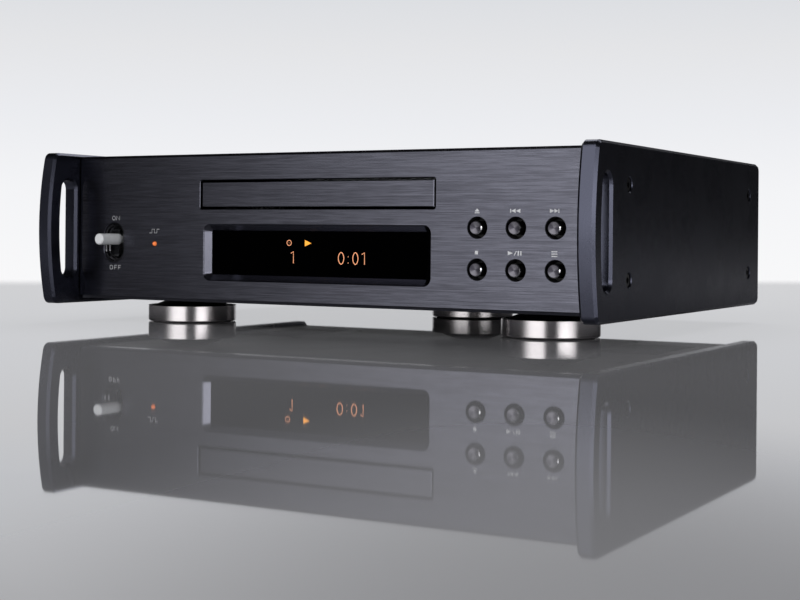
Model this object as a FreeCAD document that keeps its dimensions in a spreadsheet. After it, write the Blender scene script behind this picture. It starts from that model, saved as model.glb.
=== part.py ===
import FreeCAD, Part
import math
import os
import Sketcher

# Compact disc transport: a slim player without a converter, between two thick aluminium side plates.
# Frame: origin under the middle of the outer box, +X to the right, +Y to the rear, +Z up, millimetres.
# Heights are above the floor, and depths are behind the front panel's face, which looks along -Y.

SIZES = {
    # Outer box and side plates
    "overall_width": 290.0,
    "overall_depth": 242.0,
    "plate_thickness": 7.8,
    "plate_lift": 9.65,
    "plate_height": 73.6,
    "plate_overhang": 21.8,
    "plate_tail": 3.75,
    "plate_bow": 160.0,
    "plate_corner": 4.0,
    "plate_chamfer": 1.2,
    "handle_bar": 8.3,
    "slot_rear": 3.15,
    "slot_length": 47.6,
    "slot_corner": 4.5,
    # Side bolts
    "bolt_front": 16.7,
    "bolt_rear": 19.45,
    "bolt_pitch_z": 39.6,
    "bolt_radius": 1.5,
    "bolt_length": 12.0,
    "bolt_head_radius": 2.75,
    "bolt_head_height": 3.0,
    "bolt_sink": 3.6,
    "bolt_hex": 2.5,
    "bolt_rim": 0.4,
    # Front panel
    "panel_gap": 0.5,
    "panel_thickness": 7.0,
    "panel_low": 12.0,
    "panel_high": 82.0,
    "panel_top_chamfer": 1.2,
    "panel_low_chamfer": 1.5,
    "edge_break": 0.3,
    # Tray door and its opening
    "door_side": 1.0,
    "door_drop": 19.2,
    "door_opening_height": 13.7,
    "door_opening_corner": 1.0,
    "door_gap": 1.0,
    "door_sink": 0.4,
    "door_thickness": 5.0,
    # Display
    "window_width": 122.0,
    "window_height": 26.8,
    "window_rise": 1.625,
    "window_corner": 3.8,
    "window_bevel": 3.0,
    "window_land": 0.6,
    "glass_seat": 1.5,
    "glass_margin": 2.0,
    "glass_thickness": 2.0,
    "display_width": 112.0,
    "display_height": 24.6,
    "display_thickness": 5.6,
    # Buttons
    "button_shift": 2.1,
    "button_pitch_x": 18.0,
    "button_rise": 12.4,
    "button_pitch_z": 17.8,
    "button_radius": 2.9,
    "button_hole_radius": 4.5,
    "button_proud": 1.8,
    "button_travel": 0.7,
    "button_flange": 3.9,
    "button_guide_gap": 0.1,
    # Power toggle and lamp
    "toggle_inset": 21.9,
    "toggle_rise": 5.7,
    "toggle_radius": 2.7,
    "toggle_reach": 11.3,
    "toggle_pivot": 13.0,
    "toggle_ball": 2.6,
    "toggle_pin": 0.8,
    "bezel_rise": 4.05,
    "bezel_width": 12.3,
    "bezel_height": 19.3,
    "bezel_step": 1.0,
    "bezel_land": 1.8,
    "bezel_bevel": 0.5,
    "lamp_pitch": 25.2,
    "lamp_rise": 3.7,
    "lamp_radius": 1.0,
    # Sheet metal
    "sheet": 1.2,
    "cover_thickness": 2.0,
    "rear_thickness": 1.5,
    "fold": 8.0,
    "vent_width": 3.0,
    "vent_length": 34.0,
    "vent_pitch": 7.0,
    "vent_count": 9,
    # Countersunk case screws
    "screw_radius": 1.5,
    "screw_head": 2.9,
    "screw_sink": 1.4,
    "screw_length": 6.0,
    "screw_gap": 0.1,
    # Feet
    "foot_inset": 45.9,
    "foot_front": 42.2,
    "foot_rear": 42.9,
    "foot_radius": 22.1,
    "foot_rim": 8.2,
    "foot_wall": 1.2,
    "foot_floor": 3.2,
    "foot_chamfer": 0.5,
    "foot_neck": 9.0,
    "pad_radius": 19.5,
    "pad_height": 1.0,
    "pad_proud": 0.4,
    "foot_screw": 2.0,
    "foot_screw_head": 3.6,
    # Tray
    "disc_radius": 60.0,
    "disc_gap": 0.5,
    "tray_rim": 1.5,
    "tray_tail": 172.0,
    "tray_rise": 2.9,
    "tray_height": 8.5,
    "runner_height": 3.0,
    "well_depth": 3.5,
    "small_well_radius": 40.5,
    "small_well_depth": 1.0,
    "tray_slot": 17.5,
    "runner_width": 4.0,
    "tray_travel": 138.0,
    # Drive train
    "spindle_y": 75.0,
    "gear_inset": 17.25,
    "gear_y": 30.0,
    "rack_module": 1.0,
    "rack_pinion_teeth": 14,
    "rack_teeth": 47,
    "wheel_module": 0.8,
    "wheel_teeth": 36,
    "wheel_pinion_teeth": 14,
    "backlash": 0.14,
    "post_radius": 2.0,
    "running_gap": 0.06,
    "pulley_radius": 11.0,
    "pulley_groove": 9.0,
    "motor_pulley_radius": 4.6,
    "motor_pulley_groove": 2.7,
    "belt_side": 1.2,
    "belt_gap": 0.3,
    "motor_pitch": 29.25,
    "motor_radius": 12.0,
    "motor_height": 18.5,
    # Drive frame
    "frame_drop": 10.7,
    "frame_plate": 2.0,
    "cheek_gap": 0.5,
    "frame_front": 22.0,
    "frame_rear": 172.0,
    "cheek": 3.5,
    "guide_gap": 0.2,
    "lip_height": 1.2,
    "lip_reach": 5.1,
    "bridge_rise": 4.1,
    "bridge_post": 6.0,
    "bridge_length": 42.0,
    "bridge_hole": 15.5,
    # Traverse
    "pivot_y": 156.0,
    "traverse_drop": 7.2,
    "traverse_front": 54.0,
    "traverse_height": 6.0,
    "traverse_width": 84.0,
    "hinge_pin": 2.0,
    "spindle_motor_radius": 12.0,
    "spindle_motor_drop": 11.0,
    "turntable_radius": 15.0,
    "turntable_sink": 2.0,
    "hub_radius": 7.3,
    "puck_radius": 14.5,
    "puck_flange": 18.0,
    "puck_gap": 0.3,
    "rail_inset": 15.0,
    "rail_pitch": 10.0,
    "rail_radius": 1.5,
    "shaft_inset": 9.0,
    "well_front": 84.0,
    "well_rear": 150.0,
    "laser_inner": 23.0,
    # Cam slider
    "cam_pin_x": 12.0,
    "cam_pin_radius": 1.5,
    "cam_travel": 24.0,
    "cam_angle": 4.6,
    "cam_slack": 0.25,
    "cam_front": 47.4,
    "cam_sheet": 2.0,
    # Boards
    "board": 1.6,
    "board_z": 25.0,
    "board_edge": 8.0,
    "main_board_front": 60.0,
    "board_rear": 8.0,
    "pillar_radius": 2.75,
    # Rear sockets
    "jack_drop": 1.0,
    "coax_inset": 47.2,
    "coax_radius": 4.15,
    "coax_length": 9.8,
    "optical_inset": 25.2,
    "optical_side": 9.8,
    "clock_inset": 71.2,
    "clock_radius": 4.85,
    "clock_reach": 14.2,
    "inlet_inset": 33.2,
    "inlet_width": 24.6,
    "inlet_height": 16.8,
    "inlet_depth": 17.0,
    "inlet_wall": 1.8,
    "inlet_pitch": 40.0,
    # Transformer
    "coil_y": 78.0,
    "coil_radius": 28.0,
    "coil_bore": 11.0,
    "coil_height": 29.0,
}

PRESSURE_ANGLE = math.radians(20.0)
ADDENDUM = 0.8
DEDENDUM = 1.05


# Sizes as text for the expressions, with their value beside them
class Size:
    """A length of the sheet, or one worked out from such lengths."""

    def __init__(self, text, value):
        self.text = text
        self.value = value

    def __add__(self, other):
        other = as_size(other)
        return Size("(%s + %s)" % (self.text, other.text), self.value + other.value)

    def __sub__(self, other):
        other = as_size(other)
        return Size("(%s - %s)" % (self.text, other.text), self.value - other.value)

    def __mul__(self, other):
        other = as_size(other)
        return Size("(%s * %s)" % (self.text, other.text), self.value * other.value)

    def __truediv__(self, other):
        other = as_size(other)
        return Size("(%s / %s)" % (self.text, other.text), self.value / other.value)

    def __neg__(self):
        return Size("(0 - %s)" % self.text, -self.value)

    def __radd__(self, other):
        return as_size(other) + self

    def __rsub__(self, other):
        return as_size(other) - self

    def __rmul__(self, other):
        return as_size(other) * self


def as_size(thing):
    """A plain number or a size, as a size."""
    if isinstance(thing, Size):
        return thing
    return Size("(%r)" % float(thing), float(thing))


doc = FreeCAD.newDocument("Transport")
sheet = doc.addObject("Spreadsheet::Sheet", "Sizes")
for row, (word, number) in enumerate(SIZES.items(), start=1):
    sheet.set("A%d" % row, word)
    sheet.set("B%d" % row, str(number))
    sheet.setAlias("B%d" % row, word)
doc.recompute()


class Cells:
    """The cells of the sheet by name."""

    def __getattr__(self, word):
        return Size("Sizes." + word, float(SIZES[word]))


s = Cells()
nodes = []


def bind(item, prop, value):
    """Tie one property of an object to the sheet, or set it where it is a plain number."""
    value = as_size(value)
    if "Sizes." in value.text:
        item.setExpression(prop, value.text)
        return
    item.setExpression(prop, None)
    setattr(item, prop, value.value)


def place(item, x, y, z, turn=None):
    """Put an object at a point that follows the sheet."""
    point = [as_size(x), as_size(y), as_size(z)]
    item.Placement = FreeCAD.Placement(
        FreeCAD.Vector(*[p.value for p in point]), turn or FreeCAD.Rotation())
    for letter, p in zip("xyz", point):
        if "Sizes." in p.text:
            item.setExpression("Placement.Base." + letter, p.text)


def node(item, label):
    """Give a finished sub-part its name and note it for writing."""
    item.Label = label
    nodes.append(item)
    return item


# Plain solids: blocks between two corners and rods along an axis
def block(x, y, z):
    """A block from x[0] to x[1], y[0] to y[1] and z[0] to z[1]."""
    item = doc.addObject("Part::Box", "block")
    for prop, (low, high) in zip(("Length", "Width", "Height"), (x, y, z)):
        bind(item, prop, as_size(high) - low)
    place(item, x[0], y[0], z[0])
    return item


AXIS_TURN = {
    "X": FreeCAD.Rotation(FreeCAD.Vector(0, 1, 0), 90),
    "Y": FreeCAD.Rotation(FreeCAD.Vector(1, 0, 0), -90),
    "Z": FreeCAD.Rotation(),
}


def stand(item, axis, across, start):
    """Turn a round solid along an axis and put its foot at start on it."""
    a, b = across
    point = {"X": (start, a, b), "Y": (a, start, b), "Z": (a, b, start)}[axis]
    place(item, *point, AXIS_TURN[axis])
    return item


def rod(axis, across, span, radius):
    """A cylinder along an axis, from span[0] to span[1], centred on across."""
    item = doc.addObject("Part::Cylinder", "rod")
    bind(item, "Radius", radius)
    bind(item, "Height", as_size(span[1]) - span[0])
    return stand(item, axis, across, span[0])


def cone(axis, across, span, start_radius, end_radius):
    """A cone frustum along an axis."""
    item = doc.addObject("Part::Cone", "cone")
    bind(item, "Radius1", start_radius)
    bind(item, "Radius2", end_radius)
    bind(item, "Height", as_size(span[1]) - span[0])
    return stand(item, axis, across, span[0])


def join(*items):
    """Fuse solids that are one piece."""
    if len(items) == 1:
        return items[0]
    whole = doc.addObject("Part::MultiFuse", "join")
    whole.Shapes = list(items)
    whole.Refine = True
    return whole


def carve(base, *tools):
    """Cut tools out of a solid."""
    whole = doc.addObject("Part::Cut", "carve")
    whole.Base = base
    whole.Tool = join(*tools)
    whole.Refine = True
    return whole


def group(label, shapes):
    """Several separate solids of one kind in one node."""
    item = doc.addObject("Part::Feature", label)
    item.Shape = Part.makeCompound(shapes)
    return node(item, label)


def solids_of(*items):
    """The shapes of built objects, each where it stands."""
    doc.recompute()
    return [item.Shape.copy() for item in items]


# Sketched bodies
def plane_sketch(body, role, offset=0):
    """A sketch on one of the body's own planes, moved along its normal."""
    drawing = body.newObject("Sketcher::SketchObject", body.Name + "_sketch")
    plane = [item for item in body.Origin.OriginFeatures if item.Role == role][0]
    drawing.AttachmentSupport = [(plane, "")]
    drawing.MapMode = "FlatFace"
    offset = as_size(offset)
    if "Sizes." in offset.text:
        drawing.setExpression("AttachmentOffset.Base.z", offset.text)
    else:
        drawing.AttachmentOffset = FreeCAD.Placement(
            FreeCAD.Vector(0, 0, offset.value), FreeCAD.Rotation())
    return drawing


def front_sketch(body, depth):
    """A sketch in the plane at one depth behind the panel's face, seen from the front."""
    return plane_sketch(body, "XZ_Plane", -(face + depth))


def pin_point(drawing, geometry, corner, x, y):
    """Hold one point of a sketch at a place worked out from the sheet."""
    for kind, value in (("DistanceX", as_size(x)), ("DistanceY", as_size(y))):
        number = drawing.addConstraint(
            Sketcher.Constraint(kind, -1, 1, geometry, corner, value.value))
        if "Sizes." in value.text:
            drawing.setExpression("Constraints[%d]" % number, value.text)


def polygon(drawing, corners):
    """A closed outline of straight sides."""
    corners = [(as_size(x), as_size(y)) for x, y in corners]
    first = drawing.GeometryCount
    count = len(corners)
    for i in range(count):
        (x0, y0), (x1, y1) = corners[i], corners[(i + 1) % count]
        drawing.addGeometry(Part.LineSegment(
            FreeCAD.Vector(x0.value, y0.value, 0), FreeCAD.Vector(x1.value, y1.value, 0)), False)
    for i in range(count):
        drawing.addConstraint(
            Sketcher.Constraint("Coincident", first + i, 2, first + (i + 1) % count, 1))
    for i, (x, y) in enumerate(corners):
        pin_point(drawing, first + i, 1, x, y)


def rectangle(drawing, x, y):
    """A rectangle from x[0] to x[1] and y[0] to y[1]."""
    polygon(drawing, [(x[0], y[0]), (x[1], y[0]), (x[1], y[1]), (x[0], y[1])])


def circle(drawing, x, y, radius):
    """A full circle."""
    x, y, radius = as_size(x), as_size(y), as_size(radius)
    ring = drawing.addGeometry(Part.Circle(
        FreeCAD.Vector(x.value, y.value, 0), FreeCAD.Vector(0, 0, 1), radius.value), False)
    pin_point(drawing, ring, 3, x, y)
    number = drawing.addConstraint(Sketcher.Constraint("Radius", ring, radius.value))
    if "Sizes." in radius.text:
        drawing.setExpression("Constraints[%d]" % number, radius.text)


def oval(drawing, x, y, width, height):
    """An upright oval: two half circles joined by straight sides."""
    x, y, width, height = [as_size(v) for v in (x, y, width, height)]
    radius = width / 2
    top = y + height / 2 - radius
    low = y - height / 2 + radius
    up = FreeCAD.Vector(0, 0, 1)
    first = drawing.GeometryCount
    centre_top = FreeCAD.Vector(x.value, top.value, 0)
    centre_low = FreeCAD.Vector(x.value, low.value, 0)
    left, right = (x - radius).value, (x + radius).value
    drawing.addGeometry(Part.ArcOfCircle(
        Part.Circle(centre_top, up, radius.value), 0, math.pi), False)
    drawing.addGeometry(Part.LineSegment(
        FreeCAD.Vector(left, top.value, 0), FreeCAD.Vector(left, low.value, 0)), False)
    drawing.addGeometry(Part.ArcOfCircle(
        Part.Circle(centre_low, up, radius.value), math.pi, 2 * math.pi), False)
    drawing.addGeometry(Part.LineSegment(
        FreeCAD.Vector(right, low.value, 0), FreeCAD.Vector(right, top.value, 0)), False)
    for i in range(4):
        drawing.addConstraint(Sketcher.Constraint("Coincident", first + i, 2, first + (i + 1) % 4, 1))
    pin_point(drawing, first, 2, x - radius, top)
    pin_point(drawing, first + 2, 2, x + radius, low)
    pin_point(drawing, first, 3, x, top)
    pin_point(drawing, first + 2, 3, x, low)


def bowed(drawing, rear, low, high, centre_y, centre_z, radius):
    """A plate's outline: square at the rear, one wide arc at the front."""
    rear, low, high, centre_y, centre_z, radius = [
        as_size(v) for v in (rear, low, high, centre_y, centre_z, radius)]
    lift = math.asin((high - centre_z).value / radius.value)
    drop = math.asin((centre_z - low).value / radius.value)
    middle = FreeCAD.Vector(centre_y.value, centre_z.value, 0)
    arc = Part.ArcOfCircle(
        Part.Circle(middle, FreeCAD.Vector(0, 0, 1), radius.value), math.pi - lift, math.pi + drop)
    first = drawing.GeometryCount
    drawing.addGeometry(arc, False)
    corners = [arc.EndPoint, FreeCAD.Vector(rear.value, low.value, 0),
               FreeCAD.Vector(rear.value, high.value, 0), arc.StartPoint]
    for start, end in zip(corners, corners[1:]):
        drawing.addGeometry(Part.LineSegment(start, end), False)
    for i in range(4):
        drawing.addConstraint(Sketcher.Constraint("Coincident", first + i, 2, first + (i + 1) % 4, 1))
    drawing.addConstraint(Sketcher.Constraint("Horizontal", first + 1))
    drawing.addConstraint(Sketcher.Constraint("Horizontal", first + 3))
    pin_point(drawing, first + 1, 2, rear, low)
    pin_point(drawing, first + 2, 2, rear, high)
    pin_point(drawing, first, 3, centre_y, centre_z)
    number = drawing.addConstraint(Sketcher.Constraint("Radius", first, radius.value))
    drawing.setExpression("Constraints[%d]" % number, radius.text)


def new_body(label):
    """An empty body that becomes one node."""
    return node(doc.addObject("PartDesign::Body", label), label)


def pad(body, drawing, length, back=False):
    """Raise a sketch into the body, along its normal or against it."""
    feature = body.newObject("PartDesign::Pad", body.Name + "_pad")
    feature.Profile = drawing
    bind(feature, "Length", length)
    feature.Reversed = back
    doc.recompute()
    return feature


def pocket(body, drawing, depth=None, back=False):
    """Cut a sketch out of the body: against its normal, along it, or through it both ways."""
    before = body.Shape.Volume
    feature = body.newObject("PartDesign::Pocket", body.Name + "_pocket")
    feature.Profile = drawing
    if depth is None:
        feature.Type = "ThroughAll"
        feature.Midplane = True
    else:
        bind(feature, "Length", depth)
        feature.Reversed = back
    doc.recompute()
    if not body.Shape.Volume < before - 1e-3:
        raise ValueError("a pocket in %s cuts nothing" % body.Label)
    return feature


def turned(body, corners, role="XZ_Plane"):
    """Turn a half profile of radius and height about the body's own upright axis."""
    drawing = plane_sketch(body, role)
    polygon(drawing, corners)
    feature = body.newObject("PartDesign::Revolution", body.Name + "_turn")
    feature.Profile = drawing
    feature.ReferenceAxis = (drawing, ["V_Axis"])
    feature.Angle = 360
    doc.recompute()
    return feature


def edges_where(body, test):
    """Names of the body's edges for which test(edge) holds."""
    return ["Edge%d" % (i + 1) for i, edge in enumerate(body.Shape.Edges) if test(edge)]


def dress(body, kind, edges, amount):
    """Round or chamfer the named edges of the body."""
    if not edges:
        raise ValueError("no edges to dress on " + body.Label)
    base = body.Tip
    feature = body.newObject("PartDesign::" + kind, body.Name + "_" + kind.lower())
    feature.Base = (base, edges)
    bind(feature, "Radius" if kind == "Fillet" else "Size", amount)
    doc.recompute()
    return feature


def close(a, b):
    """Whether two lengths are the same."""
    return abs(a - b) < 1e-4


def lies_in(edge, axis, value):
    """Whether an edge lies in a plane square to an axis."""
    box = edge.BoundBox
    low, high = {"X": (box.XMin, box.XMax), "Y": (box.YMin, box.YMax), "Z": (box.ZMin, box.ZMax)}[axis]
    return close(low, value) and close(high, value)


# Datum places that several pieces share
half = s.overall_width / 2
inner = half - s.plate_thickness
face = s.plate_overhang - s.overall_depth / 2
panel_back = face + s.panel_thickness
wall_inner = inner - s.sheet
floor_top = s.panel_low + s.sheet
rear_outer = s.overall_depth / 2 - s.clock_reach
rear_inner = rear_outer - s.rear_thickness
plate_rear = rear_outer + s.plate_tail
shell_top = s.panel_high - s.cover_thickness
plate_middle = s.plate_lift + s.plate_height / 2
frame_front_face = panel_back + s.sheet
bolt_rows = (plate_middle - s.bolt_pitch_z / 2, plate_middle + s.bolt_pitch_z / 2)
bolt_columns = (face + s.bolt_front, plate_rear - s.bolt_rear)
spindle = face + s.spindle_y

# The disc sets the tray's width, and the tray sets the opening and the drive frame
well_radius = s.disc_radius + s.disc_gap
tray_half = well_radius + s.tray_rim
opening_half = tray_half + s.door_side
frame_half = tray_half + s.cheek_gap + s.cheek
opening_middle = s.panel_high - s.door_drop
opening_low = opening_middle - s.door_opening_height / 2
opening_high = opening_middle + s.door_opening_height / 2
window_middle = (s.panel_low + opening_low) / 2 + s.window_rise
window_low = window_middle - s.window_height / 2
window_high = window_middle + s.window_height / 2
tray_high = opening_middle + s.tray_rise
tray_low = tray_high - s.tray_height
tray_deck = tray_low + s.runner_height
frame_low = tray_low - s.frame_drop
bridge_low = tray_high + s.bridge_rise
traverse_z = tray_low - s.traverse_drop
turntable_high = tray_high - s.turntable_sink

# What stands near an end of the case keeps its distance from that end
toggle_x = -(inner - s.toggle_inset)
toggle_z = window_middle + s.toggle_rise
bezel_middle = window_middle + s.bezel_rise
lamp_x = toggle_x + s.lamp_pitch
lamp_z = window_middle + s.lamp_rise
jack_z = (s.panel_low + shell_top) / 2 - s.jack_drop
inlet_x = -(inner - s.inlet_inset)
coax_x = inner - s.coax_inset
optical_x = inner - s.optical_inset
clock_x = inner - s.clock_inset


# Side plates
def side_plate(label, side):
    """A thick plate whose bowed front end stands ahead of the panel as a handle with a slot."""
    body = new_body(label)
    start = inner if side > 0 else -half
    outer_x = (half * side).value
    inner_x = (inner * side).value
    bow_centre = face - s.plate_overhang + s.plate_bow
    drawing = plane_sketch(body, "YZ_Plane", start)
    bowed(drawing, plate_rear, s.plate_lift, s.plate_lift + s.plate_height,
          bow_centre, plate_middle, s.plate_bow)
    pad(body, drawing, s.plate_thickness)

    def along_x(edge):
        return close(edge.BoundBox.XLength, s.plate_thickness.value)

    dress(body, "Fillet", edges_where(body, along_x), s.plate_corner)
    slot = plane_sketch(body, "YZ_Plane", start)
    bowed(slot, face - s.slot_rear, plate_middle - s.slot_length / 2, plate_middle + s.slot_length / 2,
          bow_centre, plate_middle, s.plate_bow - s.handle_bar)
    pocket(body, slot)
    slot_end = s.slot_length.value / 2 + 0.1

    def slot_corner(edge):
        box = edge.BoundBox
        inside = abs(box.Center.z - plate_middle.value) < slot_end and box.YMax < face.value
        return along_x(edge) and inside

    dress(body, "Fillet", edges_where(body, slot_corner), s.slot_corner)

    def on_a_face(edge):
        return lies_in(edge, "X", outer_x) or lies_in(edge, "X", inner_x)

    dress(body, "Chamfer", edges_where(body, on_a_face), s.plate_chamfer)
    outer_plane = half if side > 0 else -half
    for radius, depth in ((s.bolt_head_radius + s.bolt_rim, s.bolt_sink),
                          (s.bolt_radius + s.screw_gap, s.plate_thickness)):
        holes = plane_sketch(body, "YZ_Plane", outer_plane)
        for y in bolt_columns:
            for z in bolt_rows:
                circle(holes, y, z, radius)
        pocket(body, holes, depth, back=side < 0)
    rim = (s.bolt_head_radius + s.bolt_rim).value

    def bolt_rim(edge):
        return lies_in(edge, "X", outer_x) and close(edge.BoundBox.ZLength, 2 * rim)

    dress(body, "Chamfer", edges_where(body, bolt_rim), s.bolt_rim)
    return body


side_plate("right_side_plate", 1)
side_plate("left_side_plate", -1)


# Bolts of the side plates, with hexagon sockets
def socket_bolt(side, y, z):
    """One socket head bolt that lies along X in its counterbore."""
    seat = half - s.bolt_sink
    outer = seat + s.bolt_head_height
    tip = seat - s.bolt_length
    spans = [(tip, seat), (seat, outer)] if side > 0 else [(-seat, -tip), (-outer, -seat)]
    shank = rod("X", (y, z), spans[0], s.bolt_radius)
    head = rod("X", (y, z), spans[1], s.bolt_head_radius)
    key = doc.addObject("Part::Prism", "key")
    key.Polygon = 6
    bind(key, "Circumradius", s.bolt_hex / 2 / math.cos(math.pi / 6))
    bind(key, "Height", s.bolt_head_height / 2)
    stand(key, "X", (y, z), outer - s.bolt_head_height / 2 if side > 0 else -outer)
    return carve(join(shank, head), key)


group("side_plate_bolts", solids_of(*[
    socket_bolt(side, y, z) for side in (1, -1) for y in bolt_columns for z in bolt_rows]))


# Front panel
button_middle = (s.window_width / 2 + inner) / 2 + s.button_shift
button_high = window_middle + s.button_rise
button_columns = [button_middle + s.button_pitch_x * k for k in (-1, 0, 1)]
button_rows = (button_high, button_high - s.button_pitch_z)
button_places = [(x, z) for z in button_rows for x in button_columns]
panel_half = inner - s.panel_gap


def upright(edge, length, x, z):
    """Whether an edge runs along Y with this length at the corner x, z of an opening about x = 0."""
    box = edge.BoundBox
    at_corner = close(abs(box.Center.x), x) and (close(box.Center.z, z[0]) or close(box.Center.z, z[1]))
    return close(box.YLength, length) and at_corner


def front_panel():
    """The brushed plate with the tray opening, the window, the button holes and the toggle's oval."""
    body = new_body("front_panel")
    slab = front_sketch(body, s.panel_thickness)
    rectangle(slab, (-panel_half, panel_half), (s.panel_low, s.panel_high))
    pad(body, slab, s.panel_thickness)
    openings = front_sketch(body, s.panel_thickness)
    rectangle(openings, (-opening_half, opening_half), (opening_low, opening_high))
    sight_x = s.window_width / 2 - s.window_bevel
    sight_z = (window_low + s.window_bevel, window_high - s.window_bevel)
    rectangle(openings, (-sight_x, sight_x), sight_z)
    pocket(body, openings)
    thick = s.panel_thickness.value
    door_z = (opening_low.value, opening_high.value)
    window_z = (sight_z[0].value, sight_z[1].value)
    door_x = opening_half.value
    window_x = sight_x.value
    dress(body, "Fillet", edges_where(body, lambda e: upright(e, thick, door_x, door_z)),
          s.door_opening_corner)
    dress(body, "Fillet", edges_where(body, lambda e: upright(e, thick, window_x, window_z)),
          s.window_corner - s.window_bevel)
    rebate = front_sketch(body, s.panel_thickness)
    rectangle(rebate, (-sight_x - s.glass_seat, sight_x + s.glass_seat),
              (sight_z[0] - s.glass_seat, sight_z[1] + s.glass_seat))
    pocket(body, rebate, s.panel_thickness - s.window_bevel - s.window_land, back=True)
    holes = front_sketch(body, s.panel_thickness)
    for x, z in button_places:
        circle(holes, x, z, s.button_hole_radius)
    circle(holes, lamp_x, lamp_z, s.lamp_radius + s.screw_gap)
    oval(holes, toggle_x, bezel_middle, s.bezel_width, s.bezel_height)
    pocket(body, holes)
    lamp_bore = front_sketch(body, s.panel_thickness)
    circle(lamp_bore, lamp_x, lamp_z, s.lamp_radius + 0.7)
    pocket(body, lamp_bore, 1.3, back=True)
    front = face.value
    high, low = s.panel_high.value, s.panel_low.value

    def inside_edge(edge):
        box = edge.BoundBox
        within = low + 1 < box.ZMin and box.ZMax < high - 1 and abs(box.Center.x) < panel_half.value - 1
        return lies_in(edge, "Y", front) and within and not sight_edge(edge)

    def sight_edge(edge):
        box = edge.BoundBox
        across = box.XMin > -window_x - 0.01 and box.XMax < window_x + 0.01
        upward = box.ZMin > window_z[0] - 0.01 and box.ZMax < window_z[1] + 0.01
        return lies_in(edge, "Y", front) and across and upward

    dress(body, "Chamfer", edges_where(body, inside_edge), s.edge_break)
    dress(body, "Chamfer", edges_where(body, sight_edge), s.window_bevel)
    for z, amount in ((high, s.panel_top_chamfer), (low, s.panel_low_chamfer)):
        dress(body, "Chamfer",
              edges_where(body, lambda e: lies_in(e, "Y", front) and lies_in(e, "Z", z)), amount)


front_panel()


# Sub-panel behind it, folded back along its top and bottom
def front_frame():
    """Pressed steel with cut-outs for everything that reaches the panel."""
    body = new_body("front_frame")
    slab = front_sketch(body, s.panel_thickness + s.sheet)
    rectangle(slab, (-inner, inner), (s.panel_low + s.sheet, shell_top))
    pad(body, slab, s.sheet)
    lower = front_sketch(body, s.panel_thickness + s.sheet)
    rectangle(lower, (-wall_inner + 1, wall_inner - 1), (floor_top, floor_top + s.sheet))
    pad(body, lower, s.fold, back=True)
    upper = front_sketch(body, s.panel_thickness + s.sheet)
    rectangle(upper, (-wall_inner + s.fold + 1, wall_inner - s.fold - 1), (shell_top - s.sheet, shell_top))
    pad(body, upper, s.fold, back=True)
    cuts = front_sketch(body, s.panel_thickness + s.sheet)
    reach = opening_half + 1.5
    rectangle(cuts, (-reach, reach), (opening_low - 1.5, opening_high + 1.5))
    reach = s.window_width / 2 + s.glass_margin + 0.3
    rectangle(cuts, (-reach, reach), (window_low - s.glass_margin - 0.3, window_high + s.glass_margin + 0.3))
    wide = s.bezel_width / 2 + 2.2
    tall = s.bezel_height / 2 + 2.2
    rectangle(cuts, (toggle_x - wide, toggle_x + wide), (bezel_middle - tall, bezel_middle + tall))
    for x, z in button_places:
        circle(cuts, x, z, s.button_radius + s.button_guide_gap)
    circle(cuts, lamp_x, lamp_z, s.lamp_radius + 0.7)
    pocket(body, cuts)


front_frame()


# Display
def display():
    """Stepped smoked window in a rebate of the panel, and the display module behind it."""
    window = new_body("display_window")
    drawing = front_sketch(window, s.panel_thickness + s.glass_thickness)
    reach = s.window_width / 2 + s.glass_margin
    rectangle(drawing, (-reach, reach), (window_low - s.glass_margin, window_high + s.glass_margin))
    pad(window, drawing, s.glass_thickness)

    def corner(edge):
        return close(edge.BoundBox.YLength, s.glass_thickness.value)

    dress(window, "Fillet", edges_where(window, corner), s.glass_margin / 2)
    pane = front_sketch(window, s.panel_thickness)
    edge_gap = s.window_bevel - s.glass_seat + s.screw_gap
    reach = s.window_width / 2 - edge_gap
    rectangle(pane, (-reach, reach), (window_low + edge_gap, window_high - edge_gap))
    pad(window, pane, s.panel_thickness - s.window_bevel - s.window_land - s.screw_gap)
    start = panel_back + s.glass_thickness + 0.3
    end = start + s.display_thickness
    half_width = s.display_width / 2
    half_height = s.display_height / 2
    low, high = window_middle - half_height, window_middle + half_height
    tube = block((-half_width + 4, half_width - 4), (start, start + 1), (low + 2, high - 2))
    case = block((-half_width, half_width), (start + 1, end), (low, high))
    node(join(tube, case), "display_module")
    return end


display_back = display()


# Countersunk screws, board screws and the holes that take them
def countersink(axis, across, surface, inward, gap=0.0, length=None):
    """A countersunk screw, or the hole for one where gap is given, with its top in a surface."""
    top = as_size(surface)
    sink = top + s.screw_sink * inward
    tip = top + (length if length is not None else s.screw_length) * inward
    if inward > 0:
        head = cone(axis, across, (top, sink), s.screw_head + gap, s.screw_radius + gap)
        shank = rod(axis, across, (sink, tip), s.screw_radius + gap)
    else:
        head = cone(axis, across, (sink, top), s.screw_radius + gap, s.screw_head + gap)
        shank = rod(axis, across, (tip, sink), s.screw_radius + gap)
    return join(shank, head)


def pan_screw(axis, across, seat, inward):
    """A pan head screw that clamps a board at seat and reaches 6 mm inward."""
    outer = as_size(seat) - inward * 1.8
    tip = as_size(seat) + inward * 6.0
    if inward > 0:
        head = rod(axis, across, (outer, seat), 2.6)
        shank = rod(axis, across, (seat, tip), s.screw_radius)
    else:
        head = rod(axis, across, (seat, outer), 2.6)
        shank = rod(axis, across, (tip, seat), s.screw_radius)
    return join(shank, head)


rear_screw_places = [(side * (wall_inner - s.fold / 2), z)
                     for side in (-1, 1)
                     for z in (s.panel_low + 10, (s.panel_low + shell_top) / 2, shell_top - 10)]
inlet_screw_places = [(inlet_x + side * s.inlet_pitch / 2, jack_z) for side in (-1, 1)]
cover_screw_rows = (face + 24, (face + 24 + rear_outer - 10) / 2, rear_outer - 10)
cover_screw_places = [(side * (wall_inner - s.fold / 2), y) for side in (-1, 1) for y in cover_screw_rows]


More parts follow.
